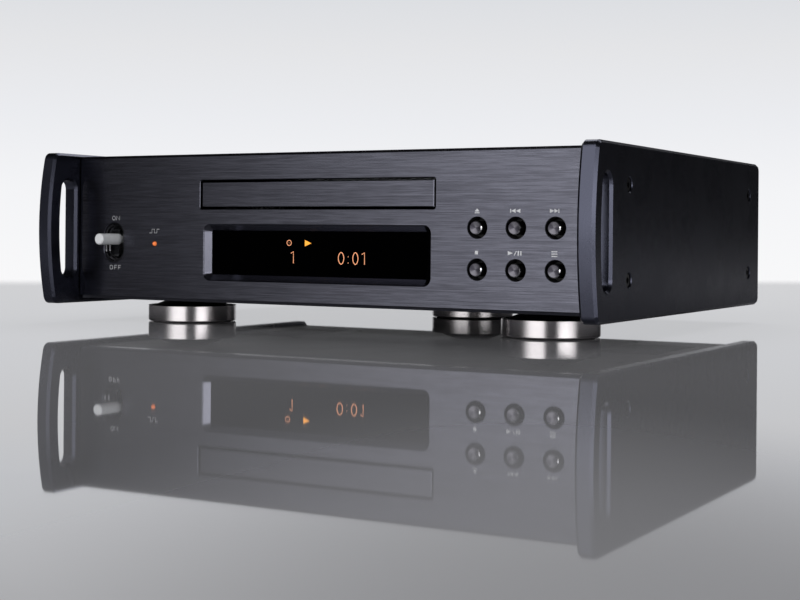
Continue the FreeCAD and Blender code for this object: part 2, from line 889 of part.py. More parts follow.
# Chassis: a folded pan with bosses for the side bolts
foot_x = half - s.foot_inset
foot_places = [(-foot_x, face + s.foot_front), (foot_x, face + s.foot_front), (0.0, rear_outer - s.foot_rear)]


def base_chassis():
    """The pan with its inward folds, foot holes and cooling slots."""
    body = new_body("base_chassis")
    start = panel_back + s.sheet
    profile = plane_sketch(body, "XZ_Plane", -start)
    low, top = s.panel_low, shell_top
    lip = wall_inner - s.fold
    polygon(profile, [
        (-inner, low), (inner, low), (inner, top), (lip, top), (lip, top - s.sheet),
        (wall_inner, top - s.sheet), (wall_inner, floor_top), (-wall_inner, floor_top),
        (-wall_inner, top - s.sheet), (-lip, top - s.sheet), (-lip, top), (-inner, top)])
    pad(body, profile, rear_inner - start, back=True)
    for side in (1, -1):
        fold = plane_sketch(body, "XZ_Plane", -(rear_inner - s.sheet))
        x = (lip, wall_inner) if side > 0 else (-wall_inner, -lip)
        rectangle(fold, x, (floor_top, shell_top - s.sheet))
        pad(body, fold, s.sheet, back=True)
        boss = plane_sketch(body, "YZ_Plane", wall_inner * side)
        for y in bolt_columns:
            for z in bolt_rows:
                circle(boss, y, z, s.bolt_head_radius + 1.2)
        pad(body, boss, s.fold - 2.5, back=side > 0)
        bore = plane_sketch(body, "YZ_Plane", inner * side)
        for y in bolt_columns:
            for z in bolt_rows:
                circle(bore, y, z, s.bolt_radius + s.screw_gap)
        pocket(body, bore, s.sheet + s.fold, back=side < 0)
    floor = plane_sketch(body, "XY_Plane", s.panel_low)
    for x, y in foot_places:
        circle(floor, x, y, s.foot_screw + s.screw_gap)
    for x, y in main_board_holes + power_board_holes:
        circle(floor, x, y, s.screw_radius + s.screw_gap)
    pocket(body, floor, s.sheet, back=True)
    rear_holes = plane_sketch(body, "XZ_Plane", -rear_inner)
    for x, z in rear_screw_places:
        circle(rear_holes, x, z, s.screw_radius + s.screw_gap)
    pocket(body, rear_holes, s.sheet, back=True)
    top_holes = plane_sketch(body, "XY_Plane", shell_top)
    for x, y in cover_screw_places:
        circle(top_holes, x, y, s.screw_radius + s.screw_gap)
    pocket(body, top_holes, s.sheet)
    vents = plane_sketch(body, "XY_Plane", s.panel_low)
    first = rear_outer - 88
    near = main_board_x[0] + 10
    rectangle(vents, (-near - s.vent_length, -near), (first, first + s.vent_width))
    rectangle(vents, (near, near + s.vent_length), (first, first + s.vent_width))
    slots = pocket(body, vents, s.sheet, back=True)
    rows = body.newObject("PartDesign::LinearPattern", "vent_rows")
    rows.Originals = [slots]
    rows.Direction = (vents, ["V_Axis"])
    bind(rows, "Length", s.vent_pitch * (s.vent_count - 1))
    bind(rows, "Occurrences", s.vent_count)
    body.Tip = rows
    doc.recompute()


main_board_x = (frame_half + 12, wall_inner - s.board_edge)
main_board_y = (face + s.main_board_front, rear_outer - s.board_rear)
power_board_x = (-(wall_inner - s.board_edge), -(frame_half + 12))
power_board_y = (face + s.coil_y + s.coil_radius + 2, rear_outer - s.board_rear - 12)


def board_holes(x, y):
    """Screw holes near the four corners of a board that lies flat."""
    return [(px, py) for px in (x[0] + 5, x[1] - 5) for py in (y[0] + 5, y[1] - 5)]


main_board_holes = board_holes(main_board_x, main_board_y)
power_board_holes = board_holes(power_board_x, power_board_y)
base_chassis()


# Cover and rear panel
def top_cover():
    """A flat plate between the side plates, held by countersunk screws."""
    plate = block((-inner + s.panel_gap, inner - s.panel_gap), (panel_back, rear_outer),
                  (shell_top, s.panel_high))
    sinks = [countersink("Z", (x, y), s.panel_high, -1, s.screw_gap / 2) for x, y in cover_screw_places]
    node(carve(plate, *sinks), "top_cover")


def rear_panel():
    """A flat steel panel with the cut-outs for the sockets."""
    plate = block((-inner + s.panel_gap, inner - s.panel_gap), (rear_inner, rear_outer),
                  (s.panel_low, shell_top))
    sinks = [countersink("Y", (x, z), rear_outer, -1, s.screw_gap / 2) for x, z in rear_screw_places]
    span = (rear_inner - 1, rear_outer + 1)
    sinks += [rod("Y", (x, z), span, s.screw_radius + s.screw_gap) for x, z in inlet_screw_places]
    sinks.append(rod("Y", (coax_x, jack_z), span, s.coax_radius + 0.9))
    sinks.append(rod("Y", (clock_x, jack_z), span, s.clock_radius + 0.2))
    side = s.optical_side / 2 + 0.1
    sinks.append(block((optical_x - side, optical_x + side), span, (jack_z - side, jack_z + side)))
    wide = s.inlet_width / 2 + s.inlet_wall + 0.2
    tall = s.inlet_height / 2 + s.inlet_wall + 0.2
    sinks.append(block((inlet_x - wide, inlet_x + wide), span, (jack_z - tall, jack_z + tall)))
    node(carve(plate, *sinks), "rear_panel")


top_cover()
rear_panel()
flange = 2.4
case_screws = [countersink("Y", (x, z), rear_outer, -1) for x, z in rear_screw_places]
case_screws += [countersink("Z", (x, y), s.panel_high, -1) for x, y in cover_screw_places]
case_screws += [countersink("Y", (x, z), rear_outer + flange, -1) for x, z in inlet_screw_places]
group("case_screws", solids_of(*case_screws))


# Feet: a turned metal cup on a pad, with a cone that carries the chassis
def foot_parts():
    """Cups, cones, pads and screws of the three feet."""
    low = s.pad_proud
    rim = s.foot_radius
    bore = rim - s.foot_wall
    ring = new_body("foot_ring_master")
    nodes.remove(ring)
    hole = s.foot_screw_head + 0.4
    turned(ring, [
        (hole, low), (rim - s.foot_chamfer, low), (rim, low + s.foot_chamfer), (rim, s.foot_rim - 0.15),
        (rim - 0.15, s.foot_rim), (bore, s.foot_rim), (bore, s.foot_floor), (hole, s.foot_floor)])
    pocket_low = plane_sketch(ring, "XY_Plane", low)
    circle(pocket_low, 0, 0, s.pad_radius + 0.1)
    pocket(ring, pocket_low, s.pad_height - s.pad_proud, back=True)
    cone_body = new_body("foot_cone_master")
    nodes.remove(cone_body)
    inner_hole = s.foot_screw + s.screw_gap
    cup = bore - 0.3
    turned(cone_body, [
        (inner_hole, s.foot_floor), (cup, s.foot_floor), (cup, s.foot_rim - 0.6),
        (s.foot_neck, s.panel_low), (inner_hole, s.panel_low)])
    pad_body = new_body("foot_pad_master")
    nodes.remove(pad_body)
    turned(pad_body, [
        (0, 0), (s.pad_radius - 0.3, 0), (s.pad_radius, 0.3), (s.pad_radius, s.pad_height),
        (0, s.pad_height)])
    screw = new_body("foot_screw_master")
    nodes.remove(screw)
    turned(screw, [
        (0, s.foot_floor - 1.9), (s.foot_screw_head, s.foot_floor - 1.9), (s.foot_screw_head, s.foot_floor),
        (s.foot_screw, s.foot_floor), (s.foot_screw, floor_top + 4.0), (0, floor_top + 4.0)])
    doc.recompute()
    for label, master in (("foot_rings", ring), ("foot_cones", cone_body),
                          ("foot_pads", pad_body), ("foot_screws", screw)):
        shapes = []
        for x, y in foot_places:
            shape = master.Shape.copy()
            shape.translate(FreeCAD.Vector(as_size(x).value, y.value, 0))
            shapes.append(shape)
        group(label, shapes)


foot_parts()


# Buttons: turned caps with a dished face, guided by the sub-panel
def along_y(body, x, z):
    """Lay a turned body along Y with its foot at the panel's face."""
    place(body, x, face, z, FreeCAD.Rotation(FreeCAD.Vector(1, 0, 0), -90))


def button(label, x, z):
    """One cap with its rounded rim, its stem and the flange that keeps it in."""
    body = new_body(label)
    guide = s.panel_thickness + s.sheet
    dish = 0.25
    rim = 0.35
    front = -s.button_proud
    radius = s.button_radius
    turned(body, [
        (0, front + dish), (radius - rim * 2, front), (radius - rim, front), (radius, front + rim),
        (radius, guide + 0.3), (s.button_flange, guide + 0.3), (s.button_flange, guide + 1.1),
        (0, guide + 1.1)])
    along_y(body, x, z)


BUTTONS = ("eject_button", "previous_button", "next_button", "stop_button", "play_button", "menu_button")
for label, (x, z) in zip(BUTTONS, button_places):
    button(label, x, z)


# Power toggle
def toggle():
    """The lever with its ball, the oval bezel and the switch on its bracket."""
    lever = new_body("toggle_lever")
    tip = -s.toggle_reach
    neck = 1.6
    ball = s.toggle_ball
    pivot = s.toggle_pivot
    turned(lever, [
        (0, tip), (s.toggle_radius - 0.5, tip), (s.toggle_radius, tip + 0.5), (s.toggle_radius, 3.2),
        (neck, 4.6), (neck, pivot - ball * 0.8), (ball * 0.8, pivot - ball * 0.6),
        (ball, pivot), (ball * 0.8, pivot + ball * 0.6), (0, pivot + ball)])
    pin_reach = ball + 2.0
    pin = plane_sketch(lever, "YZ_Plane", -pin_reach)
    circle(pin, 0, pivot, s.toggle_pin)
    pad(lever, pin, pin_reach * 2)
    along_y(lever, toggle_x, toggle_z)

    bezel = new_body("toggle_bezel")
    depth = s.panel_thickness
    body = front_sketch(bezel, depth)
    oval(body, toggle_x, bezel_middle, s.bezel_width - 0.2, s.bezel_height - 0.2)
    pad(bezel, body, depth - 0.4)
    ears = front_sketch(bezel, depth + s.sheet)
    oval(ears, toggle_x, bezel_middle, s.bezel_width + 3.6, s.bezel_height + 3.6)
    pad(bezel, ears, s.sheet)
    step = s.bezel_step * 2 + 0.2
    first = front_sketch(bezel, 0.4)
    oval(first, toggle_x, bezel_middle, s.bezel_width - step, s.bezel_height - step)
    pocket(bezel, first, s.bezel_land - 0.4, back=False)
    second = front_sketch(bezel, 0.4)
    oval(second, toggle_x, bezel_middle, s.bezel_width - step * 2, s.bezel_height - step * 2)
    pocket(bezel, second)
    for depth, inset in ((0.4, step), (s.bezel_land.value, step * 2)):
        wide = (s.bezel_width - inset).value
        tall = (s.bezel_height - inset).value

        def rim(edge):
            box = edge.BoundBox
            inside = box.XLength < wide + 0.01 and box.ZLength < tall + 0.01
            across = abs(box.Center.x - toggle_x.value) < wide / 2 + 0.01
            upward = abs(box.Center.z - bezel_middle.value) < tall / 2 + 0.01
            return lies_in(edge, "Y", face.value + depth) and inside and across and upward

        dress(bezel, "Chamfer", edges_where(bezel, rim), s.bezel_bevel)

    x, z = toggle_x, toggle_z
    front = face + pivot - 1.5
    plate = face + pivot + ball + 0.3
    bush = rod("Y", (x, z), (front, plate + 0.1), ball + 2.6)
    bracket = block((x - 11.0, x + 11.0), (plate, plate + s.sheet), (z - 10.0, z + 10.0))
    legs = [block((a, b), (frame_front_face, plate + s.sheet), (z - 10.0, z + 10.0))
            for a, b in ((x - 12.2, x - 11.0), (x + 11.0, x + 12.2))]
    case = block((x - 6.5, x + 6.5), (plate + s.sheet, plate + s.sheet + 15.0), (z - 7.0, z + 7.0))
    back = plate + s.sheet + 15.0
    tabs = [block((x - 1.2, x + 1.2), (back, back + 4.0), (z + t - 0.4, z + t + 0.4)) for t in (-4.5, 0, 4.5)]
    socket = rod("Y", (x, z), (front - 1.0, plate), ball + 0.3)
    eye_reach = pin_reach + 0.3
    eye = rod("X", (face + pivot, z), (x - eye_reach, x + eye_reach), s.toggle_pin + s.running_gap)
    node(carve(join(bush, bracket, *legs, case, *tabs), socket, eye), "toggle_switch")


toggle()


# Lamp, front boards and key switches
def front_boards():
    """The boards behind the panel, with the lamp and the key switches on them."""
    board_y = display_back
    hole_x = s.window_width / 2 + s.glass_margin + s.pillar_radius + 0.5
    left, right = lamp_x - 6, hole_x + 2.7
    low, high = window_low - 5, window_high + 3
    holes = [(px, pz) for px in (left + 4, hole_x) for pz in (low + 2.9, high - 3)]
    slab = block((left, right), (board_y, board_y + s.board), (low, high))
    drills = [rod("Y", (px, pz), (board_y - 1, board_y + s.board + 1), s.screw_radius + s.screw_gap)
              for px, pz in holes]
    node(carve(slab, *drills), "display_board")

    lamp = new_body("status_lamp")
    end = s.panel_thickness + s.glass_thickness + 0.3 + s.display_thickness
    turned(lamp, [
        (0, -0.9), (s.lamp_radius * 0.45, -0.78), (s.lamp_radius * 0.85, -0.4), (s.lamp_radius, 0.1),
        (s.lamp_radius, 5.9),
        (s.lamp_radius + 0.5, 6.3), (s.lamp_radius + 0.5, end - 1.2), (s.lamp_radius + 0.9, end - 1.2),
        (s.lamp_radius + 0.9, end), (0, end)])
    along_y(lamp, lamp_x, lamp_z)

    plunger = frame_front_face + 1.1 + s.button_travel + 0.2
    body_front = plunger + 0.9
    key_y = body_front + 3.5
    keys = []
    for px, pz in button_places:
        case = block((px - 3, px + 3), (body_front, key_y), (pz - 3, pz + 3))
        keys.append(join(case, rod("Y", (px, pz), (plunger, body_front), 1.75)))
    group("key_switches", solids_of(*keys))
    low_x, high_x = button_columns[0] - 6.6, button_columns[2] + 6.6
    low_z, high_z = button_rows[1] - 9.6, button_rows[0] + 9.6
    key_holes = [(px, pz) for px in (low_x + 3.5, high_x - 3.5) for pz in (low_z + 3.5, high_z - 3.5)]
    slab = block((low_x, high_x), (key_y, key_y + s.board), (low_z, high_z))
    drills = [rod("Y", (px, pz), (key_y - 1, key_y + s.board + 1), s.screw_radius + s.screw_gap)
              for px, pz in key_holes]
    node(carve(slab, *drills), "key_board")
    return [(holes, board_y), (key_holes, key_y)]


front_board_rows = front_boards()


# Main and power boards with their parts
def flat_board(label, x, y, holes):
    """A board that lies on pillars above the chassis floor."""
    slab = block(x, y, (s.board_z, s.board_z + s.board))
    drills = [rod("Z", place_xy, (s.board_z - 1, s.board_z + s.board + 1), s.screw_radius + s.screw_gap)
              for place_xy in holes]
    node(carve(slab, *drills), label)


def on_board(board, across, along):
    """A place on a board, as shares of its width and length."""
    x, y = board
    return x[0] + (x[1] - x[0]) * across, y[0] + (y[1] - y[0]) * along


def chip(board, across, along, width, length, height):
    """A flat package on a board."""
    x, y = on_board(board, across, along)
    top = s.board_z + s.board
    return block((x - width / 2, x + width / 2), (y - length / 2, y + length / 2), (top, top + height))


def can(board, across, along, radius, height):
    """A round capacitor on a board."""
    top = s.board_z + s.board
    return rod("Z", on_board(board, across, along), (top, top + height), radius)


flat_board("main_board", main_board_x, main_board_y, main_board_holes)
flat_board("power_board", power_board_x, power_board_y, power_board_holes)
main = (main_board_x, main_board_y)
main_parts = [chip(main, 0.5, 0.435, 20, 20, 1.6), chip(main, 0.5, 0.69, 14, 14, 1.4),
              chip(main, 0.22, 0.255, 10, 12, 1.8), chip(main, 0.74, 0.23, 16, 8, 5.0),
              chip(main, 0.78, 0.855, 12, 7, 2.2)]
main_parts += [can(main, 0.15 + 0.167 * k, 0.116, 3.2, 8.0) for k in range(5)]
main_parts += [can(main, 0.815, 0.522 + 0.065 * k, 2.5, 6.5) for k in range(3)]
power = (power_board_x, power_board_y)
power_parts = [can(power, 0.22 + 0.333 * k, 0.256, 7.5, 24.0) for k in range(3)]
power_parts += [can(power, 0.185 + 0.222 * k, 0.487, 4.0, 14.0) for k in range(3)]
power_parts += [chip(power, 0.52, 0.705, 40, 6, 16.0), chip(power, 0.7, 0.82, 12, 10, 6.0),
                chip(power, 0.34, 0.84, 16, 9, 7.0)]
group("board_parts", solids_of(*main_parts, *power_parts))


def pillar(axis, across, span):
    """A hexagonal pillar with a threaded bore."""
    prism = doc.addObject("Part::Prism", "pillar")
    prism.Polygon = 6
    bind(prism, "Circumradius", s.pillar_radius)
    bind(prism, "Height", as_size(span[1]) - span[0])
    stand(prism, axis, across, span[0])
    bore = rod(axis, across, (as_size(span[0]) - 1, as_size(span[1]) + 1), s.screw_radius + s.screw_gap)
    return carve(prism, bore)


pillars = [pillar("Z", xy, (floor_top, s.board_z)) for xy in main_board_holes + power_board_holes]
board_screws = [pan_screw("Z", xy, s.board_z + s.board, -1) for xy in main_board_holes + power_board_holes]
for holes, board_y in front_board_rows:
    pillars += [pillar("Y", xz, (frame_front_face, board_y)) for xz in holes]
    board_screws += [pan_screw("Y", xz, board_y + s.board, -1) for xz in holes]
group("board_pillars", solids_of(*pillars))


# Transformer
def transformer():
    """A ring core transformer held down by a dished washer and one bolt."""
    x, y = inlet_x, face + s.coil_y
    ring = new_body("transformer_coil")
    low = floor_top + 1.0
    high = low + s.coil_height
    rim = 5.0
    turned(ring, [
        (s.coil_bore, low + 2), (s.coil_bore + 2, low), (s.coil_radius - rim, low),
        (s.coil_radius - 1.5, low + 1.5), (s.coil_radius, low + rim), (s.coil_radius, high - rim),
        (s.coil_radius - 1.5, high - 1.5), (s.coil_radius - rim, high), (s.coil_bore + 2, high),
        (s.coil_bore, high - 2)])
    place(ring, x, y, 0)
    rubber = carve(rod("Z", (x, y), (floor_top, low), s.coil_radius - 2),
                   rod("Z", (x, y), (floor_top - 1, low + 1), 3.0))
    node(rubber, "transformer_rubber")
    washer = new_body("transformer_clamp")
    turned(washer, [
        (0, floor_top), (2.5, floor_top), (2.5, high - 3.5), (7.0, high - 3.5), (s.coil_bore + 1.0, high),
        (s.coil_bore + 7.0, high), (s.coil_bore + 7.0, high + 1.5), (s.coil_bore + 0.4, high + 1.5),
        (6.4, high - 2.0), (4.6, high - 2.0), (4.6, high + 1.8), (0, high + 1.8)])
    place(washer, x, y, 0)


transformer()


# Rear sockets
def ac_inlet():
    """The mains inlet: a flanged shell with a chamfered cavity and three blades."""
    x, z = inlet_x, jack_z
    wide, tall = s.inlet_width / 2, s.inlet_height / 2
    body = new_body("ac_inlet")
    shell = plane_sketch(body, "XZ_Plane", -rear_outer)
    rectangle(shell, (x - wide - s.inlet_wall, x + wide + s.inlet_wall),
              (z - tall - s.inlet_wall, z + tall + s.inlet_wall))
    pad(body, shell, s.inlet_depth + s.inlet_wall)
    brim = plane_sketch(body, "XZ_Plane", -rear_outer)
    reach = s.inlet_pitch / 2 + 4.6
    polygon(brim, [
        (x - reach, z - 4.5), (x - wide, z - tall - 3.2), (x + wide, z - tall - 3.2), (x + reach, z - 4.5),
        (x + reach, z + 4.5), (x + wide, z + tall + 3.2), (x - wide, z + tall + 3.2), (x - reach, z + 4.5)])
    pad(body, brim, flange, back=True)
    cavity = plane_sketch(body, "XZ_Plane", -(rear_outer + flange))
    cut = 4.5
    polygon(cavity, [
        (x - wide, z - tall), (x + wide, z - tall), (x + wide, z + tall - cut), (x + wide - cut, z + tall),
        (x - wide + cut, z + tall), (x - wide, z + tall - cut)])
    pocket(body, cavity, s.inlet_depth + flange, back=True)
    ears = plane_sketch(body, "XZ_Plane", -(rear_outer + flange))
    for px, pz in inlet_screw_places:
        circle(ears, px, pz, s.screw_radius + s.screw_gap)
    pocket(body, ears, flange, back=True)
    sink = (s.screw_head - s.screw_radius).value
    hole = (s.screw_radius + s.screw_gap).value

    def ear_rim(edge):
        box = edge.BoundBox
        return lies_in(edge, "Y", (rear_outer + flange).value) and close(box.XLength, 2 * hole)

    dress(body, "Chamfer", edges_where(body, ear_rim), s.screw_head - s.screw_radius)
    back = rear_outer - s.inlet_depth
    reach = back + 15.5
    blades = [block((x + dx - 1, x + dx + 1), (back, reach), (z + dz - 2, z + dz + 2))
              for dx, dz in ((-7.0, -3.0), (0.0, 1.0), (7.0, -3.0))]
    group("inlet_blades", solids_of(*blades))


def coax_jack():
    """The digital output socket: body behind the panel, flange and sleeve outside it."""
    x, z = coax_x, jack_z
    radius = s.coax_radius
    body = block((x - 6.5, x + 6.5), (rear_inner - 13, rear_inner), (z - 6.5, z + 6.5))
    neck = rod("Y", (x, z), (rear_inner - 0.5, rear_outer), radius + 0.8)
    washer = rod("Y", (x, z), (rear_outer, rear_outer + 1.4), radius + 2.4)
    sleeve = rod("Y", (x, z), (rear_outer + 1, rear_outer + 1.4 + s.coax_length), radius)
    gap = rod("Y", (x, z), (rear_outer + 3, rear_outer + 2.4 + s.coax_length), radius - 0.7)
    core = rod("Y", (x, z), (rear_outer + 2, rear_outer + 0.4 + s.coax_length), 2.6)
    bore = rod("Y", (x, z), (rear_outer + 3, rear_outer + 2.4 + s.coax_length), 1.6)
    node(carve(join(carve(join(body, neck, washer, sleeve), gap), core), bore), "coax_jack")


def optical_jack():
    """The optical output socket: a square nose with a shuttered mouth."""
    x, z = optical_x, jack_z
    side = s.optical_side / 2
    body = block((x - 6.8, x + 6.8), (rear_inner - 14, rear_inner), (z - 6.0, z + 6.0))
    nose = block((x - side, x + side), (rear_inner - 0.5, rear_outer + 1.6), (z - side, z + side))
    hollow = side - 1
    mouth = block((x - hollow, x + hollow), (rear_outer + 0.4, rear_outer + 3), (z - hollow, z + hollow))
    node(carve(join(body, nose), mouth), "optical_jack")


def clock_jack():
    """The clock input: a bayonet socket with two lugs, the rearmost piece of the whole."""
    x, z = clock_x, jack_z
    end = s.overall_depth / 2
    radius = s.clock_radius
    nut = doc.addObject("Part::Prism", "nut")
    nut.Polygon = 6
    bind(nut, "Circumradius", radius + 2.6)
    bind(nut, "Height", 2.2)
    stand(nut, "Y", (x, z), rear_outer)
    back = rod("Y", (x, z), (rear_inner - 9, rear_inner), radius + 1.9)
    barrel = rod("Y", (x, z), (rear_inner - 0.5, end), radius)
    lugs = rod("X", (end - 4.6, z), (x - radius - 1.1, x + radius + 1.1), 1.0)
    gap = rod("Y", (x, z), (end - 8.5, end + 1), radius - 0.8)
    core = rod("Y", (x, z), (end - 9, end - 2), 2.3)
    bore = rod("Y", (x, z), (end - 6, end - 1), 0.7)
    node(carve(join(carve(join(back, barrel, nut, lugs), gap), core), bore), "clock_jack")


ac_inlet()
coax_jack()
optical_jack()
clock_jack()


# Tray
gear_x = -(tray_half - s.gear_inset)
rack_pitch_line = gear_x - s.rack_module * s.rack_pinion_teeth / 2
rack_root = rack_pitch_line - s.rack_module * DEDENDUM
gear_y = face + s.gear_y


def tray():
    """The disc tray: two wells, the slot for the turntable, runners, front wall and the toothed rack."""
    body = new_body("tray")
    wide = tray_half
    tail = face + s.tray_tail
    front = face + s.door_thickness
    deck = plane_sketch(body, "XY_Plane", tray_deck)
    rectangle(deck, (-wide, wide), (front, tail))
    pad(body, deck, tray_high - tray_deck)
    under = plane_sketch(body, "XY_Plane", tray_low)
    for x in ((-wide, -wide + s.runner_width), (wide - s.runner_width, wide)):
        rectangle(under, x, (front, tail))
    rectangle(under, (rack_root - 3, rack_root), (gear_y - 1.8 * math.pi * s.rack_module, tail))
    pad(body, under, tray_deck - tray_low)
    wall = plane_sketch(body, "XY_Plane", tray_low)
    rectangle(wall, (-wide + 1, wide - 1), (front, front + 3))
    pad(body, wall, tray_high + 1.5 - tray_low)
    for radius, depth in ((well_radius, s.well_depth),
                          (s.small_well_radius, s.well_depth + s.small_well_depth)):
        well = plane_sketch(body, "XY_Plane", tray_high)
        circle(well, 0, spindle, radius)
        pocket(body, well, depth)
    slot = plane_sketch(body, "XY_Plane", tray_high)
    rectangle(slot, (-s.tray_slot, s.tray_slot), (spindle, tail + 1))
    pocket(body, slot)
    hole = plane_sketch(body, "XY_Plane", tray_high)
    circle(hole, 0, spindle, s.tray_slot)
    pocket(body, hole)
    module = s.rack_module.value
    pitch = math.pi * module
    middle = module * math.pi / 4 - s.backlash.value / 2
    slope = math.tan(PRESSURE_ANGLE)
    first = gear_y.value - 1.5 * pitch
    tip_x = rack_pitch_line.value + ADDENDUM * module
    root_x = rack_root.value
    tooth = plane_sketch(body, "XY_Plane", tray_low)
    polygon(tooth, [
        (root_x - 0.4, first - middle - DEDENDUM * module * slope),
        (root_x, first - middle - DEDENDUM * module * slope),
        (tip_x, first - middle + ADDENDUM * module * slope),
        (tip_x, first + middle - ADDENDUM * module * slope),
        (root_x, first + middle + DEDENDUM * module * slope),
        (root_x - 0.4, first + middle + DEDENDUM * module * slope)])
    one = pad(body, tooth, tray_deck - tray_low)
    rack = body.newObject("PartDesign::LinearPattern", "rack_teeth")
    rack.Originals = [one]
    rack.Direction = (tooth, ["V_Axis"])
    bind(rack, "Length", s.rack_module * math.pi * (s.rack_teeth - 1))
    bind(rack, "Occurrences", s.rack_teeth)
    body.Tip = rack
    doc.recompute()


def tray_door():
    """The aluminium facia that closes the opening, a little behind the panel's face."""
    body = new_body("tray_door")
    wide = opening_half - s.door_gap
    tall = s.door_opening_height / 2 - s.door_gap
    slab = front_sketch(body, s.door_thickness)
    rectangle(slab, (-wide, wide), (opening_middle - tall, opening_middle + tall))
    pad(body, slab, s.door_thickness - s.door_sink)
    front = (face + s.door_sink).value
    dress(body, "Chamfer", edges_where(body, lambda e: lies_in(e, "Y", front)), s.edge_break)


tray()
tray_door()


# Gears, pulleys and belt
def tooth_outline(module, teeth, turn):
    """One tooth with involute sides, as corners about the gear's axis, pointing along turn."""
    pitch_radius = module * teeth / 2
    base_radius = pitch_radius * math.cos(PRESSURE_ANGLE)
    tip = pitch_radius + ADDENDUM * module
    root = pitch_radius - DEDENDUM * module
    half_tooth = math.pi / 2 / teeth - s.backlash.value / 4 / pitch_radius

    def half_angle(radius):
        lean = math.acos(min(1.0, base_radius / radius))
        return half_tooth + math.tan(PRESSURE_ANGLE) - PRESSURE_ANGLE - math.tan(lean) + lean

    start = max(base_radius, root)
    radii = [start + (tip - start) * k / 3 for k in range(4)]
    side = [(root - 0.4, half_angle(start))] + [(r, half_angle(r)) for r in radii]
    left = [(r * math.cos(turn + a), r * math.sin(turn + a)) for r, a in reversed(side)]
    right = [(r * math.cos(turn - a), r * math.sin(turn - a)) for r, a in side]
    return right + left


def toothed(body, low, high, module, teeth, turn):
    """A spur gear raised on a body about its own axis."""
    blank = plane_sketch(body, "XY_Plane", low)
    circle(blank, 0, 0, module * teeth / 2 - module * DEDENDUM)
    pad(body, blank, high - low)
    drawing = plane_sketch(body, "XY_Plane", low)
    polygon(drawing, tooth_outline(module.value, int(teeth.value), turn))
    one = pad(body, drawing, high - low)
    ring = body.newObject("PartDesign::PolarPattern", body.Name + "_teeth")
    ring.Originals = [one]
    ring.Axis = (drawing, ["N_Axis"])
    ring.Angle = 360
    bind(ring, "Occurrences", teeth)
    body.Tip = ring
    doc.recompute()


frame_top = frame_low + s.frame_plate
wheel_low = frame_top + 4.5
wheel_high = wheel_low + 2.5
pulley_low = frame_top + 0.7
pulley_high = pulley_low + 3.0
wheel_distance = s.wheel_module * (s.wheel_teeth + s.wheel_pinion_teeth) / 2
pulley_x = gear_x + wheel_distance
motor_x = pulley_x + s.motor_pitch


def bore_out(body, radius):
    """Bore a body through along its own axis."""
    hole = plane_sketch(body, "XY_Plane", 0)
    circle(hole, 0, 0, radius)
    pocket(body, hole)


def drive_gear():
    """The wheel that the pulley turns, with the pinion that drives the tray's rack."""
    body = new_body("drive_gear")
    toothed(body, wheel_low, wheel_high, s.wheel_module, s.wheel_teeth, 0.0)
    toothed(body, wheel_high, tray_deck - 0.5, s.rack_module, s.rack_pinion_teeth, 0.0)
    hub = plane_sketch(body, "XY_Plane", frame_top + 0.3)
    circle(hub, 0, 0, s.post_radius + 2)
    pad(body, hub, wheel_low - frame_top - 0.3)
    bore_out(body, s.post_radius + s.running_gap)
    place(body, gear_x, gear_y, 0)


def pulley_gear():
    """The belt pulley with its pinion."""
    body = new_body("pulley_gear")
    low, high = pulley_low, pulley_high
    rim, groove = s.pulley_radius, s.pulley_groove
    turned(body, [
        (0, low), (rim, low), (rim, low + 0.3), (groove, low + 0.7), (groove, high - 0.7),
        (rim, high - 0.3), (rim, high), (0, high)])
    toothed(body, high, wheel_high, s.wheel_module, s.wheel_pinion_teeth,
            math.pi / s.wheel_pinion_teeth.value)
    bore_out(body, s.post_radius + s.running_gap)
    place(body, pulley_x, gear_y, 0)


def motor_pulley():
    """The small pulley on the loading motor's shaft."""
    body = new_body("motor_pulley")
    low, high = pulley_low, pulley_high
    rim, groove = s.motor_pulley_radius, s.motor_pulley_groove
    turned(body, [
        (1.0 + s.running_gap, low), (rim, low), (rim, low + 0.3), (groove, low + 0.7),
        (groove, high - 0.7), (rim, high - 0.3), (rim, high), (1.0 + s.running_gap, high)])
    place(body, motor_x, gear_y, 0)


def belt_loop(offset):
    """The closed path round both pulleys at one distance outside their grooves."""
    far = pulley_x.value
    near = motor_x.value
    big = s.pulley_groove.value + offset
    small = s.motor_pulley_groove.value + offset
    lean = math.acos((big - small) / (near - far))
    y = gear_y.value

    def point(x, radius, angle):
        return FreeCAD.Vector(x + radius * math.cos(angle), y + radius * math.sin(angle), 0)

    edges = [
        Part.Arc(point(far, big, lean), point(far, big, math.pi), point(far, big, -lean)).toShape(),
        Part.LineSegment(point(far, big, -lean), point(near, small, -lean)).toShape(),
        Part.Arc(point(near, small, -lean), point(near, small, 0), point(near, small, lean)).toShape(),
        Part.LineSegment(point(near, small, lean), point(far, big, lean)).toShape()]
    return Part.Face(Part.Wire(edges))


def drive_belt():
    """The square belt, as wide as it is thick."""
    side = s.belt_side.value
    gap = s.belt_gap.value
    ring = belt_loop(gap + side).cut(belt_loop(gap))
    low = (pulley_low.value + pulley_high.value) / 2 - side / 2
    ring.translate(FreeCAD.Vector(0, 0, low))
    item = doc.addObject("Part::Feature", "drive_belt")
    item.Shape = ring.extrude(FreeCAD.Vector(0, 0, side))
    node(item, "drive_belt")


def loading_motor():
    """The flat motor under the frame plate, with its shaft through it."""
    x = motor_x
    can_top = frame_low
    body = rod("Z", (x, gear_y), (can_top - s.motor_height, can_top), s.motor_radius)
    boss = rod("Z", (x, gear_y), (can_top, frame_top - 0.3), 3.0)
    shaft = rod("Z", (x, gear_y), (can_top, pulley_high + 0.3), 1.0)
    rear = rod("Z", (x, gear_y), (can_top - s.motor_height - 1.5, can_top - s.motor_height), 4.0)
    node(join(body, boss, shaft, rear), "loading_motor")


drive_gear()
pulley_gear()
motor_pulley()
drive_belt()
loading_motor()


